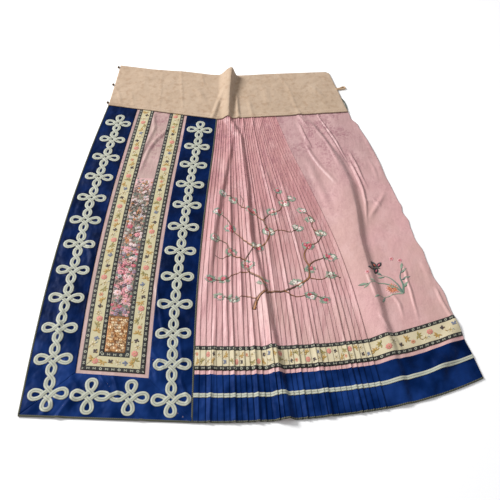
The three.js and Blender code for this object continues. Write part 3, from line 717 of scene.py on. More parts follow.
def lay_round_hem(name, node, low, high, pleats_rows, plain_rows, layer):
    """One strip round the hem: its length on the pleats and its length on the plain panel."""
    heights = np.linspace(low, high, plain_rows)[:, None]
    return {
        f"pleats_{node}": lay_pleated(f"{name}_pleats", np.linspace(low, high, pleats_rows), *layer),
        f"plain_{node}": lay_sheet(f"{name}_plain", "plain", plain_columns, heights, *layer),
    }


satin_pieces = {
    **lay_strips("satin", "border", (None, 0, 0, border_foot), satin_layer, (34, 260), (116, 36)),
    **lay_round_hem("satin", "hem_band", 0, band_top, 20, 40, satin_layer),
}
for node, piece in satin_pieces.items():
    stand_in(piece, node)

# A flat silver-green braid runs along the hem bands; the same braid makes the looped
# knots below. It is plaited silk, with a faint line down its middle.
stripe_low, stripe_high = 43, 51
silver_braid = Finish("silver_braid", Sheen_Weight=0.2, Specular_IOR_Level=0.4)
braid_across, braid_along = silver_braid.cloth_mm()
aside_of_line = braid_across.away(0)
braid_ribs = (braid_along + aside_of_line * 1.1).part(1.9).away(0.5).soft(0.08, 0.4)
braid_line, braid_edge_shade = aside_of_line.soft(0.95, 0.3), aside_of_line.soft(3.2, 3.9)
braid_body = silver_braid.mixed(silver_braid.noise(30, 3), tint(212, 213, 198), tint(184, 187, 168))
# painted shade in the grooves between the ribs and along both edges of the tape, with the darker line down
# its middle
braid_shade = braid_ribs * 0.3 + braid_line * 0.5 + braid_edge_shade * 0.5
braid_body = silver_braid.mixed(braid_shade, braid_body, tint(104, 112, 96))
braid_flecks = silver_braid.noise(2.2, 1).soft(0.64, 0.72)
silver_braid.paint("Base Color", silver_braid.mixed(braid_flecks * 0.5, braid_body, tint(184, 152, 92)))
silver_braid.paint("Roughness", 0.5 + 0.2 * braid_ribs)
silver_braid.paint("Normal", silver_braid.relief(1 - braid_ribs - braid_line, 0.4, 0.8))

stripe_layer = (1.4, 0.65, silver_braid)
stripe_pieces = lay_round_hem("stripe", "hem_stripe", stripe_low, stripe_high, 6, 7, stripe_layer)
for node, piece in stripe_pieces.items():  # the map is turned so that the braid runs along the hem
    flat_spots = piece.data.uv_layers["cloth"].data
    spots = np.zeros(len(flat_spots) * 2)
    flat_spots.foreach_get("uv", spots)
    spots = spots.reshape(-1, 2)[:, ::-1] - ((stripe_low + stripe_high) / 2 * mm, 0)
    flat_spots.foreach_set("uv", spots.ravel())
    stand_in(piece, node)

# The woven ribbon has a cream middle between two black edges with a repeat of small
# key and ring marks. It frames the panel in three mitred strips and runs round the hem.
pink_margin = 7
panel_ribbon_wide = 37
hem_ribbon = (94, 142)
black_edge = 8.5
mark_pitch = 10.7
ribbon_over, ribbon_wall = 0.7, 0.55


def ribbon_finish(name, wide, light, dull, swapped=False):
    """A ribbon that many mm wide, with two tones of cream between its black edges."""
    ribbon = Finish(name, Sheen_Weight=0.15, Specular_IOR_Level=0.4)
    u, v = ribbon.cloth_mm()
    if swapped:
        u, v = v - hem_ribbon[0], u
    inset = ribbon.maths("MINIMUM", u, wide - u)
    x = (v.part(mark_pitch) - 0.5) * mark_pitch
    y = inset - black_edge / 2
    is_ring = v.part(3 * mark_pitch) > 0.667
    ring = ribbon.maths("SQRT", x * x + y * y).between(1.2, 2.5)
    bars = x.away(0).between(1.4, 2.5) * (y.away(0) < 2.0)
    key = ribbon.maths("MAXIMUM", bars, x.away(0) + y.away(0) < 1.1)
    mark = ring * is_ring + key * (1 - is_ring)
    dark = inset < black_edge
    weave = ribbon.noise(0.5, 1, (6, 1, 1))
    cream = ribbon.mixed(ribbon.noise(24, 3), light, dull)
    cream = ribbon.mixed((weave - 0.5) * 0.5 + 0.1, cream, tint(176, 158, 120))
    black = ribbon.mixed(weave, tint(12, 12, 12), tint(30, 27, 24))
    edging = ribbon.mixed(mark * 0.78, black, tint(188, 188, 166))
    ribbon.paint("Base Color", ribbon.mixed(dark, cream, edging))
    ribbon.paint("Roughness", 0.62 + 0.15 * weave)
    marked = ribbon.relief(mark, 0.25, 0.6)
    ribbon.paint("Normal", ribbon.relief(weave, 0.15, 0.5, marked))
    return ribbon


panel_creams = tint(198, 190, 156), tint(178, 167, 126)
hem_creams = tint(210, 200, 172), tint(190, 176, 138)
panel_ribbon = ribbon_finish("key_ribbon_panel", panel_ribbon_wide, *panel_creams)
hem_ribbon_finish = ribbon_finish(
    "key_ribbon_hem", hem_ribbon[1] - hem_ribbon[0], *hem_creams, swapped=True,
)
panel_ribbon_layer = (ribbon_over, ribbon_wall, panel_ribbon)
hem_ribbon_layer = (ribbon_over, ribbon_wall, hem_ribbon_finish)
ribbon_foot = border_foot + pink_margin
field_foot = ribbon_foot + panel_ribbon_wide
ribbon_limits = (pink_margin, pink_margin + panel_ribbon_wide, ribbon_foot, field_foot)
ribbon_pieces = {
    **lay_strips("ribbon", "ribbon", ribbon_limits, panel_ribbon_layer, (16, 170), (60, 16)),
    **lay_round_hem("ribbon", "ribbon", *hem_ribbon, 12, 24, hem_ribbon_layer),
}
for node, piece in ribbon_pieces.items():
    stand_in(piece, node)

# The looped braid: one long flat tape for each chain, laid over and under itself in
# four-looped knots and couched to the satin. Two chains climb the side borders and
# a short one joins their feet.
tape_profile = np.array([  # across the tape, and above its underside
    (-3.8, 0.3), (-3.3, 0.8), (-2.0, 1.1), (0, 0.8), (2.0, 1.1), (3.3, 0.8), (3.8, 0.3),
    (2.9, 0), (-2.9, 0),
])
tape_step = 1.5
cross = 8.1  # where the tape crosses itself, from a knot's middle
tape_under, tape_over = 0.72, 0.95  # its lift off the satin, and what it rises to cross itself
tape_rest = 0.3  # its level away from crossings, where 0 is under and 1 on top
link_bulge = [(0.44, -5.3), (0.62, -6.1), (0.80, -5.0)]  # share of the way to the next knot, mm aside
knots = {  # the middle of every knot, up each side from the hem and along the foot
    "left": [
        (38.4, 41), (30, 105.5), (25.2, 168), (21.4, 232.8), (18, 297.3), (15.4, 361.4),
        (12.6, 426), (11.4, 489.6), (13, 553.6), (15.2, 617.6), (17.6, 679), (20, 738),
    ],
    "right": [
        (242.6, 46), (236, 110.8), (229.4, 172.6), (224.4, 235.2), (221, 299), (218.4, 362.6),
        (216.4, 426), (216, 488), (215, 550), (215.4, 612.4), (216.8, 674.6), (216.6, 734.4),
    ],
    "bottom": [(107, 43), (174.2, 45.4)],
}
side_loop = [(4.3, 11.5), (7.0, 17.6), (7.4, 23.6), (4.2, 28.0), (0, 29.0)]
slim_loop = [(4.0, 11.0), (6.8, 17.2), (7.0, 23.2), (4.0, 27.2), (0, 28.2)]


def smooth_line(points, closed):
    """Catmull-Rom places along a line, close together."""
    points = np.asarray(points, float)
    count = len(points)
    picks = np.arange(count if closed else count - 1)

    def held(pick):
        return pick % count if closed else np.clip(pick, 0, count - 1)

    t = np.linspace(0, 1, 16, endpoint=False)[None, :, None]
    line = passing(*(points[held(picks + k)][:, None] for k in (-1, 0, 1, 2)), t)
    line = line.reshape(-1, points.shape[1])
    return line if closed else np.vstack([line, points[-1:]])


def even_line(line, step, closed):
    """The same line with its places evenly spaced."""
    looped = np.vstack([line, line[:1]]) if closed else line
    far = far_along(looped[:, :2])
    count = max(int(round(far[-1] / step)), 2)
    at = np.linspace(0, far[-1], count, endpoint=False) if closed else np.linspace(0, far[-1], count + 1)
    return np.stack([np.interp(at, far, looped[:, k]) for k in range(looped.shape[1])], 1)


def chain_line(middles, loop, end_loop):
    """The tape's one closed line through a chain of knots, with 1 where it lies on top."""
    middles = np.asarray(middles, float)
    last = len(middles) - 1
    steps = np.diff(middles, axis=0)
    parts = {}  # the way up, the loop at each end by its knot's number, and the way down
    for going_up in (True, False):
        strand = []
        crossing = 0 if going_up else 1
        for i in range(last + 1):
            heading = unit(middles[min(i + 1, last)] - middles[max(i - 1, 0)])
            aside = np.array([heading[1], -heading[0]])
            hand = 1 if (i % 2 == 0) == going_up else -1

            def at(along, side, on=tape_rest):
                return (*(middles[i] + along * heading + hand * side * aside), on)

            before = np.hypot(*steps[i - 1]) / 2 if i > 0 else 0
            after = np.hypot(*steps[i]) / 2 if i < last else 0
            over = [(crossing + k) % 2 for k in range(5)]
            full = 1.03 - 0.01 * i + 0.025 * np.sin(2.3 * i + 1.1 * going_up)  # no two loops are alike
            if i > 0:
                strand += [at(-share * before, bulge) for share, bulge in link_bulge[::-1]]
            strand += [at(-cross, 0, over[0]), at(0, cross, over[1])]
            strand += [at(full * up, full * out) for up, out in loop]
            strand += [at(-full * up, full * out) for up, out in loop[-2::-1]]
            strand += [at(0, cross, over[2]), at(cross, 0, over[3])]
            if i < last:
                strand += [at(share * after, bulge) for share, bulge in link_bulge]
                strand.append((*(middles[i] + steps[i] / 2), over[4]))
            crossing = (crossing + 5) % 2
            if i in (0, last) and going_up:
                far_way = 1 if i == last else -1
                parts[i] = [at(far_way * out, -far_way * hand_side * up)
                            for hand_side, half in ((far_way, end_loop), (-far_way, end_loop[-2::-1]))
                            for up, out in half]
        parts["up" if going_up else "down"] = strand
    return parts["up"] + parts[last] + parts["down"][::-1] + parts[0][::-1]


def add_chain(place, loop, end_loop):
    """The tape along one chain of knots, laid on the cloth and lifted where it crosses itself."""
    line = even_line(smooth_line(chain_line(knots[place], loop, end_loop), True), tape_step, True)
    lift = tape_under + tape_over * np.clip((line[:, 2] - tape_rest) / (1 - tape_rest), 0, 1)
    middle = line[:, :2]
    ahead_of = unit(np.roll(middle, -1, 0) - np.roll(middle, 1, 0))
    side = np.stack([ahead_of[:, 1], -ahead_of[:, 0]], 1)
    spots = middle[:, None] + side[:, None] * tape_profile[None, :, :1]
    height = rise(spots[..., 0], spots[..., 1]) + skin + lift[:, None] + tape_profile[:, 1]
    places = np.concatenate([spots, height[..., None]], -1).reshape(-1, 3)
    index = np.arange(len(places)).reshape(-1, len(tape_profile))
    following = np.roll(index, -1, 0)
    faces = joined(index, following, np.roll(following, -1, 1), np.roll(index, -1, 1))
    flat_map = stacked(tape_profile[:, 0], np.arange(len(line))[:, None] * tape_step).reshape(-1, 2)
    chain = add_mesh(f"looped_braid_{place}", places, faces, silver_braid, flat_map)
    stand_in(chain, f"braid_{place}")


add_chain("left", side_loop, slim_loop)
add_chain("right", side_loop, slim_loop)
add_chain("bottom", slim_loop, side_loop)

# The edge binding: a narrow olive braid with pale flecks, folded over the raw edges
# of the hem and of the panel's two sides, and over the seam beside the pleats.
binding_profile = np.array([  # inward from the edge, and above the skin
    (2.3, 0.7), (2.2, 1.1), (1.2, 1.35), (0, 1.15), (-0.7, 0.5), (-0.7, -0.5), (0, -1.0), (2.2, -1.0),
])
binding_step = 1.1  # mm of its map from one place round it to the next
olive = Finish("olive_binding", Specular_IOR_Level=0.3)
binding_across, binding_along = olive.cloth_mm()
olive_twist = (binding_along + binding_across * 0.8).part(3.4).away(0.5).soft(0.16, 0.3)
olive.paint("Base Color", olive.mixed(olive_twist * 0.8 + 0.2, tint(116, 116, 94), tint(40, 42, 34)))
olive.paint("Roughness", 0.7 + 0.15 * olive_twist)
olive.paint("Normal", olive.relief(1 - olive_twist, 0.25, 0.8))


def add_binding(name, node, edge, inward):
    """A strip folded over an edge: the edge's places on the skin, and the way into the cloth."""
    places = edge[:, None] + inward[:, None] * binding_profile[None, :, :1]
    places[..., 2] += binding_profile[:, 1]
    count, around = places.shape[:2]
    along = far_along(edge[:, :2])[:, None]
    flat_map = stacked(np.arange(around) * binding_step, along).reshape(-1, 2)
    strip = add_mesh(name, places.reshape(-1, 3), band_faces(count, around), olive, flat_map)
    stand_in(strip, node)


def hem_edge(region, across):
    """The hem's places on the skin and the way up the cloth from each."""
    edge, above = (stacked(*on_cloth(region, across, height)) for height in (0, 4))
    return edge, unit((above - edge) * (1, 1, 0))


pleat_hem, pleat_hem_up = pleat_grid([0, 4], 0)[0]
pleat_inward = unit((pleat_hem_up - pleat_hem) * (1, 1, 0))
add_binding("olive_edge_hem", "panel_binding_hem", *hem_edge("panel", np.linspace(0, 1, 90)))
add_binding("olive_edge_pleats", "pleats_hem_binding", pleat_hem, pleat_inward)
add_binding("olive_edge_plain", "plain_hem_binding", *hem_edge("plain", np.linspace(0, 1, 84)))
for side, across, way in (("left", 0, 1), ("right", 1, -1)):
    edge = stacked(*on_cloth("panel", across, np.linspace(2.4, drop["left"], 180)))[::-way]
    inward = np.tile([way, 0.0, 0.0], (len(edge), 1))
    add_binding(f"olive_edge_{side}", f"panel_binding_{side}", edge, inward)

# Silk embroidery: every petal, leaf and twig is a low cushion of satin stitch that
# lies on the cloth. The field between the ribbons is packed with flowers.
thread_lift = 0.45
stem_step = 1.1


def between_tones(foot, tip, share):
    """Thread colours by share of the way from one tone to another, or all in the first."""
    start = np.array(foot[:3])
    return start + (np.array((tip or foot)[:3]) - start) * share


def petal_outline(length, width, tip=0.0):
    """A petal from its foot at 0,0: widest past its middle, pointed if tip is 1."""
    t = np.array([0, 0.25, 0.5, 0.75, 0.93])
    half = np.array([0.16, 0.66, 0.96, 0.9 - 0.25 * tip, 0.5 - 0.3 * tip]) * width / 2
    upper = np.stack([t * length, half], 1)
    end = np.array([[length, 0.0]])
    return np.vstack([upper[::-1], upper * (1, -1), end])[::-1]


def round_outline(radius, count=8):
    turn = np.linspace(0, 2 * np.pi, count, endpoint=False)
    return np.stack([radius * np.cos(turn), radius * np.sin(turn)], 1)


def turned(points, angle):
    turn_x, turn_y = np.cos(angle), np.sin(angle)
    return points @ np.array([[turn_x, turn_y], [-turn_y, turn_x]])


class Stitching:
    """Stitches on one cloth, gathered first and made into one mesh at the end."""

    def __init__(self, lay):
        self.lay = lay  # turns places on the flat cloth into x, y and z
        self.spots, self.lifts, self.colours, self.grain, self.faces = [], [], [], [], []
        self.count = 0

    def add(self, spots, lifts, colours, grain, faces):
        self.spots.append(spots)
        self.lifts.append(lifts)
        self.colours.append(colours)
        self.grain.append(grain)
        self.faces += [[index + self.count for index in face] for face in faces]
        self.count += len(spots)

    def patch(self, middle, angle, outline, foot, tip=None, high=thread_lift, base=0.0):
        """A domed patch whose colour goes from foot to tip along its length."""
        centre = outline.mean(0)
        around = len(outline)
        inner = centre + (outline - centre) * 0.62
        local = np.vstack([outline, inner, centre[None], centre[None]])
        lifts = np.repeat([0.06, 0.8 * high, high, -0.3], [around, around, 1, 1]) + base
        length = max(np.ptp(outline[:, 0]), 0.1)
        t = np.clip((local[:, :1] - outline[:, 0].min()) / length, 0, 1)
        colours = between_tones(foot, tip, t)
        rim = np.arange(around)
        beside = np.roll(rim, -1)
        faces = joined(rim, beside, around + beside, around + rim)
        faces += joined(around + rim, around + beside, 2 * around)
        faces += joined(beside, rim, 2 * around + 1)
        self.add(turned(local, angle) + middle, lifts, colours, local, faces)

    def line(self, path, widths, foot, tip=None, high=thread_lift, base=0.0):
        """A stem along a path, from its first width to its last."""
        line = even_line(smooth_line(path, False), stem_step, False)
        t = np.linspace(0, 1, len(line))[:, None]
        ahead_of = unit(np.gradient(line, axis=0))
        side = np.stack([-ahead_of[:, 1], ahead_of[:, 0]], 1)
        width = widths[0] + (widths[1] - widths[0]) * t
        section = np.array([(0.5, 0.02), (0.26, high), (-0.26, high), (-0.5, 0.02), (0, -0.25)])
        spots = line[:, None] + side[:, None] * (section[:, 0] * width)[..., None]
        lifts = np.broadcast_to(section[:, 1], spots.shape[:2]) + base
        colours = np.repeat(between_tones(foot, tip, t), len(section), 0)
        grain = stacked(t * len(line), section[:, 0] * 2)
        faces = [face[::-1] for face in band_faces(len(line), len(section))]
        self.add(spots.reshape(-1, 2), lifts.ravel(), colours, grain.reshape(-1, 2), faces)

    def piece(self, name, finish, slot):
        """All the stitches as one piece, which rides with the whole skirt."""
        spots = np.concatenate(self.spots)
        x, y, z = self.lay(spots[:, 0], spots[:, 1])
        places = np.stack([x, y, z + np.concatenate(self.lifts)], -1)
        made = add_mesh(name, places, self.faces, finish, np.concatenate(self.grain))
        colours = np.concatenate(self.colours)
        layer = made.data.color_attributes.new(name="thread", type="FLOAT_COLOR", domain="POINT")
        layer.data.foreach_set("color", np.column_stack([colours, np.ones(len(colours))]).ravel())
        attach(made, "root")
        return made


def thread_finish(name, rough, **shader):
    """Fine strands side by side, in the colour that each stitch was given."""
    threads = Finish(name, **shader)
    dyed = threads.node("Attribute", {"attribute_name": "thread"}, {})
    along, across = threads.cloth_mm()
    strands = across.part(0.55).away(0.5)
    worn = threads.noise(3, 2).soft(0.3, 0.8)
    shade = threads.mixed(0.1 + 0.16 * worn + strands * 0.25, dyed, tint(70, 50, 46))
    threads.paint("Base Color", shade)
    threads.paint("Roughness", rough + 0.2 * strands)
    threads.paint("Normal", threads.relief(strands, 0.16, 0.7))
    return threads


silk_thread = thread_finish("silk_thread", 0.42, Sheen_Weight=0.3, Specular_IOR_Level=0.5)
rose, deep_rose, pale_rose = tint(228, 96, 122), tint(194, 42, 76), tint(246, 200, 200)
cream_thread, white_thread = tint(242, 230, 208), tint(252, 246, 240)
jade, moss, sage = tint(102, 140, 116), tint(92, 104, 62), tint(158, 172, 150)
teal, plum, lilac = tint(66, 108, 104), tint(96, 56, 84), tint(176, 152, 176)
amber, rust, umber = tint(216, 152, 66), tint(190, 96, 48), tint(84, 52, 34)
night, slate = tint(30, 24, 28), tint(104, 116, 142)


def sew_flower(work, middle, radius, petals, foot, tip, heart, angle, layers=1, high=thread_lift):
    """A flower of separate petals in one or more layers round its heart."""
    for layer in range(layers):
        reach = radius * (1 - 0.34 * layer)
        width = 2 * np.pi * reach * 0.62 / petals * 1.25
        for k in range(petals):
            turn = angle + (k + 0.5 * layer) * 2 * np.pi / petals
            start = middle + turned(np.array([0.12 * reach, 0]), turn)
            work.patch(start, turn, petal_outline(reach * 0.88, width), foot, tip, high, 0.22 * layer)
    work.patch(middle, angle, round_outline(radius * 0.2), heart, heart, high + 0.15, 0.22 * layers)


def sew_leaf(work, middle, angle, length, colour, tip, width=0.42):
    work.patch(middle, angle, petal_outline(length, length * width, 1.0), colour, tip)


def sew_moth(work, middle, size, angle, wing, edge, body):
    """A small moth seen from above: four wings, a body and feelers."""
    for hand in (1, -1):
        for spread, length, colour, tip in ((0.75, 1.0, wing, edge), (2.0, 0.72, edge, wing)):
            turn = angle + hand * spread
            work.patch(middle, turn, petal_outline(size * length, size * 0.6), colour, tip)
        feeler = [(0.2, 0.04 * hand), (0.62, 0.18 * hand), (0.86, 0.46 * hand)]
        work.line(turned(np.array(feeler) * size, angle) + middle, (0.5, 0.35), body)
    tail = middle + turned(np.array([-0.55 * size, 0]), angle)
    work.patch(tail, angle, petal_outline(size * 0.95, size * 0.26), body, body, 0.7, 0.2)


seam_gap = 0.3
field_edge = pink_margin + panel_ribbon_wide + seam_gap
gold_high = 73
field_low, field_top = field_foot + gold_high + seam_gap, 556
field_over, field_wall = 0.55, 0.4


def lay_on_field(u, v):
    """u mm from the embroidered field's left edge, v mm above the hem."""
    return on_cloth("panel", inside_border("left", v, field_edge + u), v, field_over)


def field_width(v):
    """The field's width in mm at a height above the hem."""
    return (border_edge("right", v) - border_edge("left", v)) * panel_wide - 2 * field_edge


def lay_field_cloth(name, low, high, rows, finish, node):
    """The cloth under the stitches, between the two ribbons and two heights."""
    height = np.linspace(low, high, rows)[:, None]
    inset = field_edge + field_width(height) * np.linspace(0, 1, 20)
    across = inside_border("left", height, inset)
    cloth = lay_sheet(name, "panel", across, height, field_over, field_wall, finish)
    return stand_in(cloth, node)


worked_silk = Finish("worked_silk", Sheen_Weight=0.2)
worked_body = worked_silk.noise(9, 3).soft(0.35, 0.65)
worked_body = worked_silk.mixed(worked_body, tint(164, 128, 114), tint(108, 94, 80))
worked_dark = worked_silk.noise(2.4, 2).soft(0.52, 0.66) * 0.8
worked_body = worked_silk.mixed(worked_dark, worked_body, tint(52, 58, 50))
bare_above = (worked_silk.cloth_mm()[1] + 26 * worked_silk.noise(9, 3)).soft(524, 548)
worked_silk.paint("Base Color", worked_silk.mixed(bare_above, worked_body, tint(196, 154, 152)))
worked_silk.paint("Roughness", 0.5 + 0.2 * worked_silk.noise(4))
worked_silk.paint("Normal", worked_silk.relief(worked_silk.noise(1.6, 2), 0.5, 0.6))
field_cloth = lay_field_cloth(
    "field_silk", field_low, field_top, 90, worked_silk, "panel_embroidery",
)

chance = np.random.default_rng(7)
field = Stitching(lay_on_field)
taken = []


def room_for(u, v, radius):
    """Keeps a spot for a flower if nothing lies there yet."""
    within = radius * 0.8 < u < field_width(v) - radius * 0.8
    if not within or not field_low + radius < v < field_top - radius * 0.5:
        return False
    if any((u - a) ** 2 + (v - b) ** 2 < (0.78 * (radius + c)) ** 2 for a, b, c in taken):
        return False
    taken.append((u, v, radius))
    return True


pink_kinds = [
    (deep_rose, pale_rose, amber), (rose, white_thread, amber), (deep_rose, rose, cream_thread),
    (pale_rose, rose, moss), (slate, white_thread, amber), (plum, lilac, amber),
]
pale_kinds = [
    (white_thread, pale_rose, jade), (rust, cream_thread, umber), (pale_rose, white_thread, rose),
    (lilac, white_thread, plum), (amber, rust, night), (sage, white_thread, rose),
]
leaf_kinds = [
    (jade, sage), (teal, jade), (moss, sage), (teal, sage), (umber, rust), (night, teal), (night, umber),
]
big_flowers = [
    (26, 231, 9.0, 0), (9, 250, 8.0, 1), (25, 276, 8.5, 0), (9, 298, 7.5, 3), (26, 330, 7.5, 1),
    (14, 352, 9.5, 0), (28, 392, 6.5, 3), (10, 414, 6.5, 2),
]
for u, v, radius, kind in big_flowers:
    if room_for(u, v, radius):
        foot, tip, heart = pink_kinds[kind]
        sew_flower(field, (u, v), radius, 8, foot, tip, heart, chance.uniform(0, 1), layers=3)
for radius, tries, petals in ((4.6, 420, 6), (3.3, 1500, 5), (2.3, 3600, 5)):
    for _ in range(tries):
        v = chance.uniform(field_low, field_top)
        u = chance.uniform(0, 42)
        thinned = chance.uniform() < (v - 500) / 60 or (radius > 4 and v > 380)
        if thinned or not room_for(u, v, radius * 0.92):
            continue
        turn = chance.uniform(0, 6.28)
        richly = v < 320 + 60 * chance.uniform()
        if chance.uniform() < (0.62 if richly else 0.42):
            foot, tip, heart = (pink_kinds if richly else pale_kinds)[chance.integers(0, 6)]
            sew_flower(field, (u, v), radius, petals, foot, tip, heart, turn, layers=1 + (radius > 4))
        else:
            green, pale = leaf_kinds[chance.integers(0, 7)]
            for spread in (-0.9, -0.1, 0.7, 2.4):
                sew_leaf(field, (u, v), turn + spread, radius * 1.3, green, pale)
for _ in range(76):  # dark twigs between them
    u, v, turn = chance.uniform(4, 34), chance.uniform(field_low + 8, 520), chance.uniform(0, 6.28)
    twig = turned(np.array([(-4.5, 0), (-1, 1.2), (2, 0.4), (5, 2.4)]), turn) + (u, v)
    field.line(twig, (1.5, 0.8), night, umber, 0.6, 0.35)
# butterflies in brown and orange sit above the flowers
for u, v, wide, turn, wing, edge in (
    (24, 538, 9.5, 2.2, umber, amber), (12, 515, 6.5, 0.8, rust, umber),
    (22, 455, 8.5, 1.1, amber, rust), (10, 372, 5.5, 2.6, rust, amber),
    (27, 300, 5.5, 0.6, amber, night),
):
    sew_moth(field, (u, v), wide, turn, wing, edge, night)
field_flowers = field.piece("field_flowers", silk_thread, "embroidery")

# Below the flowers, pairs of gold thread are couched down in close coils over a
# gold ground.
gold_ground = Finish("gold_ground", Metallic=0.35)
gold_ground.paint("Base Color", gold_ground.mixed(
    gold_ground.noise(5, 3).soft(0.35, 0.65), tint(120, 80, 44), tint(168, 118, 70),
))
gold_ground.paint("Roughness", 0.45 + 0.2 * gold_ground.noise(2))
gold_ground.paint("Normal", gold_ground.relief(gold_ground.noise(1.2, 2), 0.6, 0.8))
gold_cloth = lay_field_cloth(
    "gold_cloth", field_foot + seam_gap, field_foot + gold_high, 20,
    gold_ground, "panel_gold_work",
)
gold_thread = thread_finish("gold_thread", 0.34, Metallic=0.55)
coils = Stitching(lay_on_field)
coil_reach = 3.3
# The near-white tone is a painted glint and the dark brown one partly painted shade; the other two are the
# gold's own.
gold_and_glint_tones = [tint(206, 146, 84), tint(248, 208, 150), tint(118, 72, 34), tint(255, 236, 200)]
first_row = field_foot + coil_reach + 0.6
last_row = field_foot + gold_high - coil_reach + 0.6
for row, v in enumerate(np.arange(first_row, last_row, coil_reach * 1.72)):
    wide = field_width(v)
    count = int(wide / (2 * coil_reach)) + 1
    for k in range(count):
        u = coil_reach + (wide - 2 * coil_reach) * (k + 0.5 * (row % 2)) / (count - 0.5)
        u = np.clip(u + chance.uniform(-1.2, 1.2), coil_reach, wide - coil_reach)
        coil_v = v + chance.uniform(-1, 1)
        turn = np.linspace(0, chance.uniform(4.2, 5.6) * np.pi, 21)
        reach = 0.4 + chance.uniform(0.75, 1) * (coil_reach - 0.6) * turn / turn[-1]
        start = chance.uniform(0, 6.28)
        coil = np.stack([u + reach * np.cos(turn + start), coil_v + reach * np.sin(turn + start)], 1)
        tones = chance.integers(0, 4, 2)
        coils.line(coil, (0.9, 0.8), gold_and_glint_tones[tones[0]], gold_and_glint_tones[tones[1]], 0.45, 0.05)
gold_coils = coils.piece("gold_coils", gold_thread, "gold_thread")

# A climbing spray is worked over the closed pleats: brown stems, grey-green leaves in
# fives, pink and white rosettes and buds.
branch_wide = 270


def lay_on_pleats(u, v):
    """u is a share of the pleats' width times branch_wide, v mm above the hem."""
    return on_cloth("pleats", u / branch_wide, v, pleat_spots(u / branch_wide, v))


bark, twig_tone, bark_light = tint(116, 62, 20), tint(62, 34, 18), tint(190, 120, 46)
climber = Stitching(lay_on_pleats)
stems = [  # thick at the first place, thin at the last
    (5.0, 3.0, [(96, 222), (104, 246), (122, 262), (150, 268), (176, 280)]),
    (3.6, 2.0, [(176, 280), (198, 300), (206, 330), (226, 348), (252, 352)]),
    (3.0, 1.4, [(206, 330), (200, 358), (212, 384), (236, 396), (250, 420)]),
    (3.6, 2.2, [(122, 262), (112, 290), (92, 312), (88, 342), (104, 372)]),
    (2.8, 1.4, [(104, 372), (128, 390), (140, 420), (134, 452), (152, 480)]),
    (2.4, 1.2, [(88, 342), (62, 356), (48, 382), (24, 394)]),
    (2.4, 1.2, [(104, 372), (86, 398), (62, 420), (52, 448), (30, 466)]),
    (2.0, 1.0, [(134, 452), (112, 478), (86, 488), (66, 512), (40, 522)]),
    (2.0, 1.0, [(152, 480), (176, 492), (188, 516), (210, 530)]),
    (1.8, 1.0, [(250, 420), (236, 444), (242, 470), (226, 492)]),
    (2.0, 1.0, [(140, 420), (164, 432), (186, 426), (206, 440)]),
    (1.8, 1.0, [(92, 312), (66, 306), (46, 288), (22, 290)]),
    (1.8, 1.0, [(150, 268), (172, 254), (196, 256), (218, 244)]),
    (1.6, 0.9, [(104, 246), (82, 254), (62, 244), (40, 250)]),
    (1.6, 0.9, [(198, 300), (222, 296), (240, 304), (256, 296)]),
    (1.4, 0.9, [(188, 516), (176, 534), (184, 552)]),
    (1.4, 0.9, [(86, 488), (92, 510), (84, 528)]),
    (1.4, 0.9, [(62, 356), (44, 344), (28, 350)]),
]
for thick, thin, path in stems:
    thick, thin = 1.45 * thick, 1.45 * thin
    # the stem's own jogs keep it angular, like old wood
    jog = 1.8 * np.array([(np.sin(k * 2.1 + thick), np.cos(k * 1.7 + thin)) for k in range(len(path))])
    jog[[0, -1]] = 0
    path = np.array(path) + jog
    climber.line(path, (thick, thin), bark, twig_tone, 0.6)
    if thick > 2.3:
        climber.line(path + (0.5, 0.6), (thick * 0.42, 0.5), bark_light, bark, 0.4, 0.5)
clusters = [  # middle of each cluster, how wide it spreads, and how many rosettes it has
    (176, 286, 11, 2), (206, 322, 9, 1), (250, 354, 12, 3), (214, 388, 12, 3), (248, 424, 10, 2),
    (116, 286, 9, 1), (90, 330, 12, 3), (112, 378, 12, 3), (60, 360, 10, 2), (26, 394, 9, 2),
    (58, 424, 12, 3), (30, 466, 9, 2), (140, 424, 13, 3), (108, 480, 12, 3), (66, 508, 9, 2),
    (40, 524, 7, 1), (156, 484, 11, 2), (190, 514, 12, 3), (212, 532, 8, 1), (204, 440, 10, 2),
    (236, 466, 8, 1), (226, 494, 8, 2), (46, 290, 8, 1), (22, 290, 6, 1), (196, 254, 9, 2),
    (218, 242, 6, 1), (62, 246, 8, 1), (38, 250, 6, 1), (240, 304, 8, 1), (184, 554, 6, 1),
]
leaf_tones = [(sage, jade), (jade, sage), (tint(118, 140, 124), tint(170, 180, 152)), (teal, sage)]
petal_tones = [
    (rose, pale_rose, amber), (pale_rose, white_thread, amber), (white_thread, cream_thread, moss),
    (deep_rose, rose, amber), (rose, deep_rose, cream_thread),
]
for u, v, spread, rosettes in clusters:
    first = chance.uniform(0, 6.28)
    for k in range(rosettes + 3):
        turn = first + k * 6.28 / (rosettes + 3) + chance.uniform(-0.3, 0.3)
        spot = np.array((u + 0.55 * spread * np.cos(turn), v + 0.4 * spread * np.sin(turn)))
        green, pale = leaf_tones[chance.integers(0, 4)]
        for fan in (-1.0, -0.5, 0, 0.5, 1.0):
            sew_leaf(climber, spot, turn + fan, chance.uniform(6.4, 9.6), green, pale, 0.46)
    for k in range(rosettes):
        turn = first + 1 + k * 6.28 / max(rosettes, 2)
        spot = (u + 0.5 * spread * np.cos(turn), v + 0.42 * spread * np.sin(turn))
        foot, tip, heart = petal_tones[chance.integers(0, 5)]
        sew_flower(climber, spot, chance.uniform(5.2, 7.0), 6, foot, tip, heart, turn, layers=2)
    bud = np.array((u + 1.05 * spread * np.cos(first), v + 0.8 * spread * np.sin(first)))
    for fan in (-0.45, 0.45, 0):
        climber.patch(bud, first + fan, petal_outline(5, 2.6, 0.6), deep_rose, pale_rose, base=0.1)
climber.piece("climbing_spray", silk_thread, "embroidery")

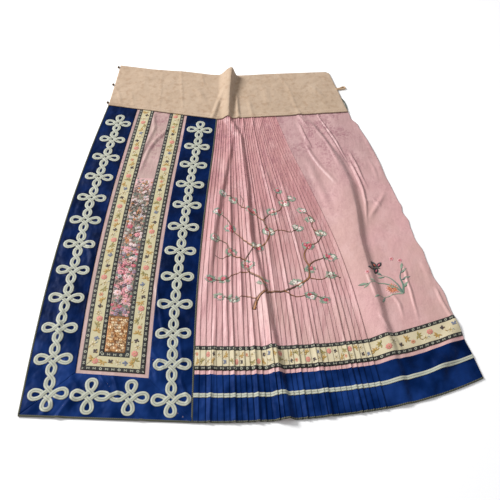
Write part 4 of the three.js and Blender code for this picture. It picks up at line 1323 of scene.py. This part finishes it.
# The plain panel has a small motif of its own: a dark butterfly over an aster, with
# bamboo leaves in grey-green.
sprig_wide = 165


def lay_on_plain(u, v):
    """u is a share of the plain panel's width times sprig_wide, v mm above the hem."""
    return on_cloth("plain", u / sprig_wide, v)


sprig = Stitching(lay_on_plain)
for path, widths, tones in (
    ([(92, 222), (84, 240), (70, 254), (52, 262), (30, 262)], (4.6, 1.4), (jade, sage)),
    ([(92, 222), (90, 246), (80, 266), (66, 278)], (4.4, 1.4), (teal, sage)),
    ([(92, 222), (100, 242), (100, 262), (108, 278)], (5.2, 1.4), (jade, teal)),
    ([(92, 222), (76, 226), (58, 224), (46, 230)], (4.0, 1.2), (sage, sage)),
):
    sprig.line(path, widths, *tones, 0.5)
for u, v, turn, length in (
    (30, 262, 2.9, 16), (34, 262, 3.6, 13), (48, 262, 2.5, 14), (66, 278, 2.2, 13),
    (70, 272, 2.9, 12), (108, 278, 1.2, 15), (104, 270, 0.5, 14), (101, 254, 0.1, 16),
    (46, 230, 3.5, 12), (56, 224, 4.0, 12), (86, 238, 2.6, 17), (96, 234, 0.6, 17),
):
    green, pale = leaf_tones[chance.integers(0, 4)]
    sew_leaf(sprig, (u, v), turn, 1.25 * length, green, pale, 0.36)
aster = (76, 240)
for turn in np.arange(0, 6.2, 0.45):
    sew_leaf(sprig, aster, turn, chance.uniform(12, 15.5), tint(212, 84, 36), tint(236, 146, 86), 0.24)
for turn in np.arange(0.2, 6.2, 0.9):
    sew_leaf(sprig, aster, turn, 7.5, amber, cream_thread, 0.3)
sprig.patch(aster, 0, round_outline(2.2), rust, rust, 0.9, 0.5)
butterfly, butterfly_turn = np.array((62, 300)), 2.5
for hand in (1, -1):  # its wings are dark, with bright cells
    for spread, length, wide, tone in ((0.55, 22, 10, tint(206, 78, 46)), (1.7, 16, 11, rose)):
        wing = butterfly_turn + hand * spread
        sprig.patch(butterfly, wing, petal_outline(length, wide, 0.5), night, night, 0.6, 0.3)
        cell = butterfly + turned(np.array([4.0, 0.0]), wing)
        sprig.patch(cell, wing, petal_outline(length * 0.5, wide * 0.34, 0.8), tone, tone, 0.6, 0.7)
tail = butterfly + turned(np.array([-7.0, 0.0]), butterfly_turn)
sprig.patch(tail, butterfly_turn, petal_outline(13, 3.2), jade, umber, 0.9, 0.7)
for hand in (1, -1):
    feeler = np.array([(6, 0), (10, 1.6 * hand), (13, 5.5 * hand)])
    sprig.line(turned(feeler, butterfly_turn) + butterfly, (0.8, 0.6), night)
for spot, turn in (((112, 302), 0.2), ((96, 312), 1.2), ((36, 290), 2.2)):
    sew_flower(sprig, spot, 5.2, 5, rose, pale_rose, amber, turn)
sprig.piece("butterfly_and_aster", silk_thread, "embroidery")

# The ribbons' cream middle carries a small woven repeat: rosettes, yellow sprigs,
# bees and grey moths, about nine centimetres from one rosette to the next pair.
motif_repeat = 13.2
yellow, blush = tint(186, 160, 70), tint(228, 150, 134)
olive_thread, ochre, grey_blue = tint(128, 126, 70), tint(196, 142, 66), tint(124, 132, 148)
motif_order = [0, 1, 2, 3, 5, 1, 4, 0, 3, 2, 1, 6, 4, 3]


def weave_motif(work, kind, middle, turn):
    """One motif of the repeat, round a middle on the ribbon."""
    u, v = middle
    low = 0.22
    if kind == 0:
        sew_flower(work, middle, 6.4, 8, blush, tint(228, 138, 120), yellow, turn, layers=2, high=low)
    elif kind in (1, 4):
        tones = (yellow, ochre) if kind == 1 else (olive_thread, yellow)
        for spread in (-1.4, -0.6, 0.2, 1.0, 1.9):
            sew_leaf(work, middle, turn + spread, 8.8, *tones, 0.42)
        bud = (u + 3 * np.cos(turn), v + 3 * np.sin(turn))
        sew_flower(work, bud, 3, 5, ochre, yellow, rust, turn, high=low)
    elif kind == 2:
        sew_moth(work, middle, 5.8, turn, night, umber, night)
        sew_leaf(work, (u + 5, v - 3), turn + 1.5, 5, ochre, yellow, 0.4)
    elif kind == 3:
        for spread in (0, 1.3, 2.6, 3.9, 5.2):
            sew_leaf(work, middle, turn + spread, 7, yellow, cream_thread, 0.5)
        sew_leaf(work, (u - 4, v - 2), turn + 2.2, 8, olive_thread, ochre, 0.3)
        sew_leaf(work, (u + 4, v + 2), turn - 1.0, 7, grey_blue, sage, 0.3)
    elif kind == 5:
        sew_moth(work, middle, 6.2, turn, grey_blue, slate, slate)
    else:
        sew_flower(work, middle, 4.4, 6, ochre, blush, rust, turn, high=low)
        sew_leaf(work, (u - 3, v + 4), turn, 6, olive_thread, yellow, 0.36)


def lay_on_ribbon(side):
    """The place finder of a side ribbon: u mm in from its outer edge, v mm above the hem."""
    def lay(u, v):
        return on_cloth("panel", inside_border(side, v, pink_margin + u), v, ribbon_over)
    return lay


def lay_on_foot_ribbon(u, v):
    """u mm along the foot from the panel's left edge, v mm above the ribbon's lower edge."""
    return on_cloth("panel", u / panel_wide, ribbon_foot + v, ribbon_over)


motif_pleat = 14


def lay_on_pleated_ribbon(u, v):
    """u counts motif_pleat to a pleat, so that a motif fills one pleat's face and ends at its edge."""
    pleat = np.clip(np.floor(u / motif_pleat), 0, pleat_count - 1).astype(int)
    share = 0.05 + 0.86 * np.clip(u / motif_pleat - pleat, 0.02, 0.98)
    lines = fold_lines(v)
    start = np.take_along_axis(lines, pleat[:, None], 1)[:, 0]
    end = np.take_along_axis(lines, pleat[:, None] + 1, 1)[:, 0]
    across = (start + share * (end - start)) / pleat_count
    return on_cloth("pleats", across, v, ribbon_over + pleat_spots(across, v))


def lay_on_plain_ribbon(u, v):
    return on_cloth("plain", u / sprig_wide, v, ribbon_over)


hem_middle = sum(hem_ribbon) / 2
ribbon_works = {  # each ribbon's place finder and the middles of its motifs
    "foot": (lay_on_foot_ribbon, [
        (u, panel_ribbon_wide / 2) for u in np.arange(112, 186, motif_repeat)
    ]),
    "plain": (lay_on_plain_ribbon, [
        (u, hem_middle + (5 if k % 2 else -5)) for k, u in enumerate(np.arange(8, sprig_wide - 4, 11.5))
    ]),
    "pleats": (lay_on_pleated_ribbon, [
        (motif_pleat * (pleat + 0.5), hem_middle + lift)
        for pleat in range(pleat_count) for lift in (-7, 7) if (pleat * 3 + lift) % 5
    ]),
}
for side in ("left", "right"):
    heights = np.arange(ribbon_foot + 24, drop["left"] - 6, motif_repeat)
    middles = [(panel_ribbon_wide / 2 + 2.4 * np.sin(k * 2.3), v) for k, v in enumerate(heights)]
    ribbon_works[side] = (lay_on_ribbon(side), middles)
for offset, (place, (lay, middles)) in enumerate(ribbon_works.items()):
    work = Stitching(lay)
    for k, middle in enumerate(middles):
        kind = motif_order[(k + 5 * offset) % len(motif_order)]
        weave_motif(work, kind, middle, chance.uniform(0, 6.28))
    work.piece(f"ribbon_motifs_{place}", silk_thread, "ribbon")

# Waistband: one folded strip of unbleached cotton, crumpled by the large fold that
# runs up through it, with its lower edge turned over the silk and stitched down.
band_top_line = np.array([  # share of its length, then the place of its upper edge
    (0, -19, 971), (0.15, 65, 964), (0.31, 156, 964), (0.43, 220, 958),
    (0.56, 298, 963), (0.74, 400, 984), (0.97, 525, 1006), (1, 536, 1001),
])
band_foot_line = np.array([(0, -17, 807), (0.455, 254, 783), (0.69, 396, 810), (1, 578, 847)])
band_long, band_high = 590, 160
band_face_up, band_back_up, band_lap = 2.5, 0.2, 1.2


def band_place(at, up):
    """x and y on the waistband: share of its length and share of its height."""
    top, foot = (
        [np.interp(at, line[:, 0], line[:, axis]) for axis in (1, 2)]
        for line in (band_top_line, band_foot_line)
    )
    return foot[0] + (top[0] - foot[0]) * up, foot[1] + (top[1] - foot[1]) * up


cotton = Finish("unbleached_cotton", Specular_IOR_Level=0.25, Sheen_Weight=0.15)
band_across, band_up = cotton.cloth_mm()
weft = band_up.part(0.9).away(0.5) + band_across.part(0.8).away(0.5)
cotton_body = cotton.mixed(cotton.noise(70, 4), tint(188, 166, 144), tint(170, 145, 120))
cotton_worn = cotton.mixed(cotton.noise(11, 5).soft(0.48, 0.7) * 0.45, cotton_body, tint(150, 120, 94))
cotton_worn = cotton.mixed(cotton.noise(34, 4).soft(0.5, 0.75) * 0.3, cotton_worn, tint(200, 180, 158))
stain = cotton.noise(14, 2).soft(0.3, 0.6) * band_up.soft(34, 8) * band_across.soft(70, 20)
cotton_stained = cotton.mixed(stain * 0.35, cotton_worn, tint(126, 98, 72))
stitches = band_up.between(3.2, 4.4) * band_across.part(6).between(0.15, 0.8)
cotton.paint("Base Color", cotton.mixed(stitches * 0.45, cotton_stained, tint(122, 94, 72)))
cotton.paint("Roughness", 0.82 + 0.1 * weft)
cotton_crumple = cotton.relief(cotton.noise(26, 4), 4.2, 0.7)
cotton.paint("Normal", cotton.relief(weft - stitches, 0.18, 0.5, cotton_crumple))

band_at = np.concatenate([
    np.linspace(0, 0.40, 80)[:-1], np.linspace(0.40, 0.58, 100)[:-1], np.linspace(0.58, 1, 80),
])
band_ups = np.concatenate([np.linspace(-0.03, 0.08, 10)[:-1], np.linspace(0.08, 1, 52)])[:, None]
band_at_grid, band_up_grid = np.broadcast_arrays(band_at, band_ups)
band_x, band_y = band_place(band_at_grid, band_up_grid)
lapped = band_lap * np.clip((0.05 - band_up_grid) / 0.04, 0, 1) ** 0.7
band_rise = rise(band_x, band_y)
band_face = stacked(band_x, band_y, band_rise + band_face_up + lapped)
band_back = stacked(band_x, band_y, band_rise + band_back_up + 1.9 * (lapped > 0))
band_map = stacked(band_at_grid * band_long, band_up_grid * band_high)
waistband = add_wall("waistband_cotton", band_face, band_back, band_map, cotton)
stand_in(waistband, "waistband")

# The band closes with three little ball buttons on its left end and, on its right
# end, a loop rolled from the band's own cotton and a twisted dark green cord.
button_ups = (0.03, 0.48, 0.94)
button_top, button_foot, button_seat = 3.25, -3.1, 3.5
button_section = np.array([  # the ball's side between its top and its foot: radius, height
    (1.3, 3.0), (2.4, 2.2), (3.05, 1.1), (3.2, 0), (2.9, -1.2), (2.1, -2.3), (1.1, -2.9),
])
brass = Finish("dark_brass", Metallic=0.75)
brass.paint("Base Color", brass.mixed(brass.noise(1.6, 2), tint(60, 46, 34), tint(118, 92, 62)))
brass.paint("Roughness", 0.38 + 0.2 * brass.noise(1))
brass.paint("Normal", brass.relief(brass.noise(1.1, 2), 0.2, 0.5))
turn = np.linspace(0, 2 * np.pi, 16, endpoint=False)
radius, height = button_section[:, :1], button_section[:, 1:]
ball_rings = stacked(radius * np.cos(turn), radius * np.sin(turn), height)
ball_places = np.vstack([[(0, 0, button_top)], ball_rings.reshape(-1, 3), [(0, 0, button_foot)]])
index = 1 + np.arange(len(button_section) * len(turn)).reshape(-1, len(turn))
beside = np.roll(index, -1, 1)
ball_faces = joined(index[:-1], index[1:], beside[1:], beside[:-1])
ball_faces += joined(0, index[0], beside[0]) + joined(len(ball_places) - 1, beside[-1], index[-1])
for number, up in enumerate(button_ups, 1):
    x, y = band_place(0, up)
    places = ball_places + (x - button_seat, y, button_seat)
    ball = add_mesh(f"ball_button_{number}", places, ball_faces, brass)
    stand_in(ball, f"waist_button_{number}")


rope_step = 0.7


def add_rope(name, path, radius, finish, around=8):
    """A round cord along places in mm, closed at both ends."""
    dense = smooth_line(path, False)
    dense_at = far_along(dense)
    even = np.linspace(0, dense_at[-1], int(dense_at[-1] / rope_step) + 2)
    line = np.stack([np.interp(even, dense_at, dense[:, k]) for k in range(3)], 1)
    ahead_of = unit(np.gradient(line, axis=0))
    side = unit(np.cross(ahead_of, (0, 0, 1.0)))
    over = np.cross(side, ahead_of)
    turn = np.linspace(0, 2 * np.pi, around, endpoint=False)[:, None]
    ring = side[:, None] * np.cos(turn) + over[:, None] * np.sin(turn)
    places = line[:, None] + ring * radius
    spots = stacked(turn[:, 0] * radius, even[:, None]).reshape(-1, 2)
    return add_mesh(name, places.reshape(-1, 3), band_faces(len(line), around), finish, spots)


def twisted_finish(name, shine, lean, pitch, tones, rough, rougher, deep):
    """Twisted yarn whose strands lean across the cord and repeat along it."""
    yarn = Finish(name, Specular_IOR_Level=shine)
    across, along = yarn.cloth_mm()
    twist = (along + across * lean).part(pitch).away(0.5)
    yarn.paint("Base Color", yarn.mixed(twist, *tones))
    yarn.paint("Roughness", rough + rougher * twist)
    yarn.paint("Normal", yarn.relief(twist, 0.4, deep))
    return yarn


rolled_tones = tint(206, 178, 146), tint(150, 112, 78)
cord_tones = tint(62, 76, 54), tint(26, 34, 26)
loop_cotton = twisted_finish("rolled_cotton", 0.25, 0.6, 2.6, rolled_tones, 0.8, 0.1, 0.7)
green_cord = twisted_finish("green_cord", 0.3, 1, 2.2, cord_tones, 0.7, 0.15, 0.8)

band_end = unit(np.array(band_place(1, 1)) - band_place(1, 0))
outward = np.array([band_end[1], -band_end[0]])
tilt = 0.18
loop_way = np.cos(tilt) * outward + np.sin(tilt) * band_end
loop_side = np.array([-loop_way[1], loop_way[0]])
loop_seat = np.array(band_place(1, 0.56))
cloth_loop = add_rope("rolled_loop", [
    (*(loop_seat + loop_way * out + loop_side * side), z) for out, side, z in (
        (-3, 2.0, 2.6), (2, 1.9, 2.5), (8, 1.9, 2.4), (13, 2.8, 2.4), (18, 4.0, 2.3),
        (22.6, 2.8, 2.2), (23.6, 0, 2.2), (22.6, -2.8, 2.2),
        (18, -4.0, 2.3), (13, -2.8, 2.4), (8, -1.9, 2.4), (2, -1.9, 2.5), (-3, -2.0, 2.6),
    )
], 1.9, loop_cotton)
cord_foot, cord_head = np.array(band_place(1, 0.04)), np.array(band_place(1, 0.30))
cord_run = cord_head - cord_foot
cord_loop = add_rope("cord_loop", [
    (*(cord_foot + cord_run * t + outward * out), z) for t, out, z in (
        (-0.02, -1.5, 2.4), (0.0, 1.3, 1.6), (0.2, 2.9, 1.4), (0.45, 3.8, 1.4), (0.7, 3.6, 1.4),
        (0.9, 2.8, 1.5), (1.0, 1.0, 1.8), (1.03, -1.5, 2.4),
    )
], 1.1, green_cord)
stand_in(cloth_loop, "waist_loop_cloth")
stand_in(cord_loop, "waist_loop_cord")
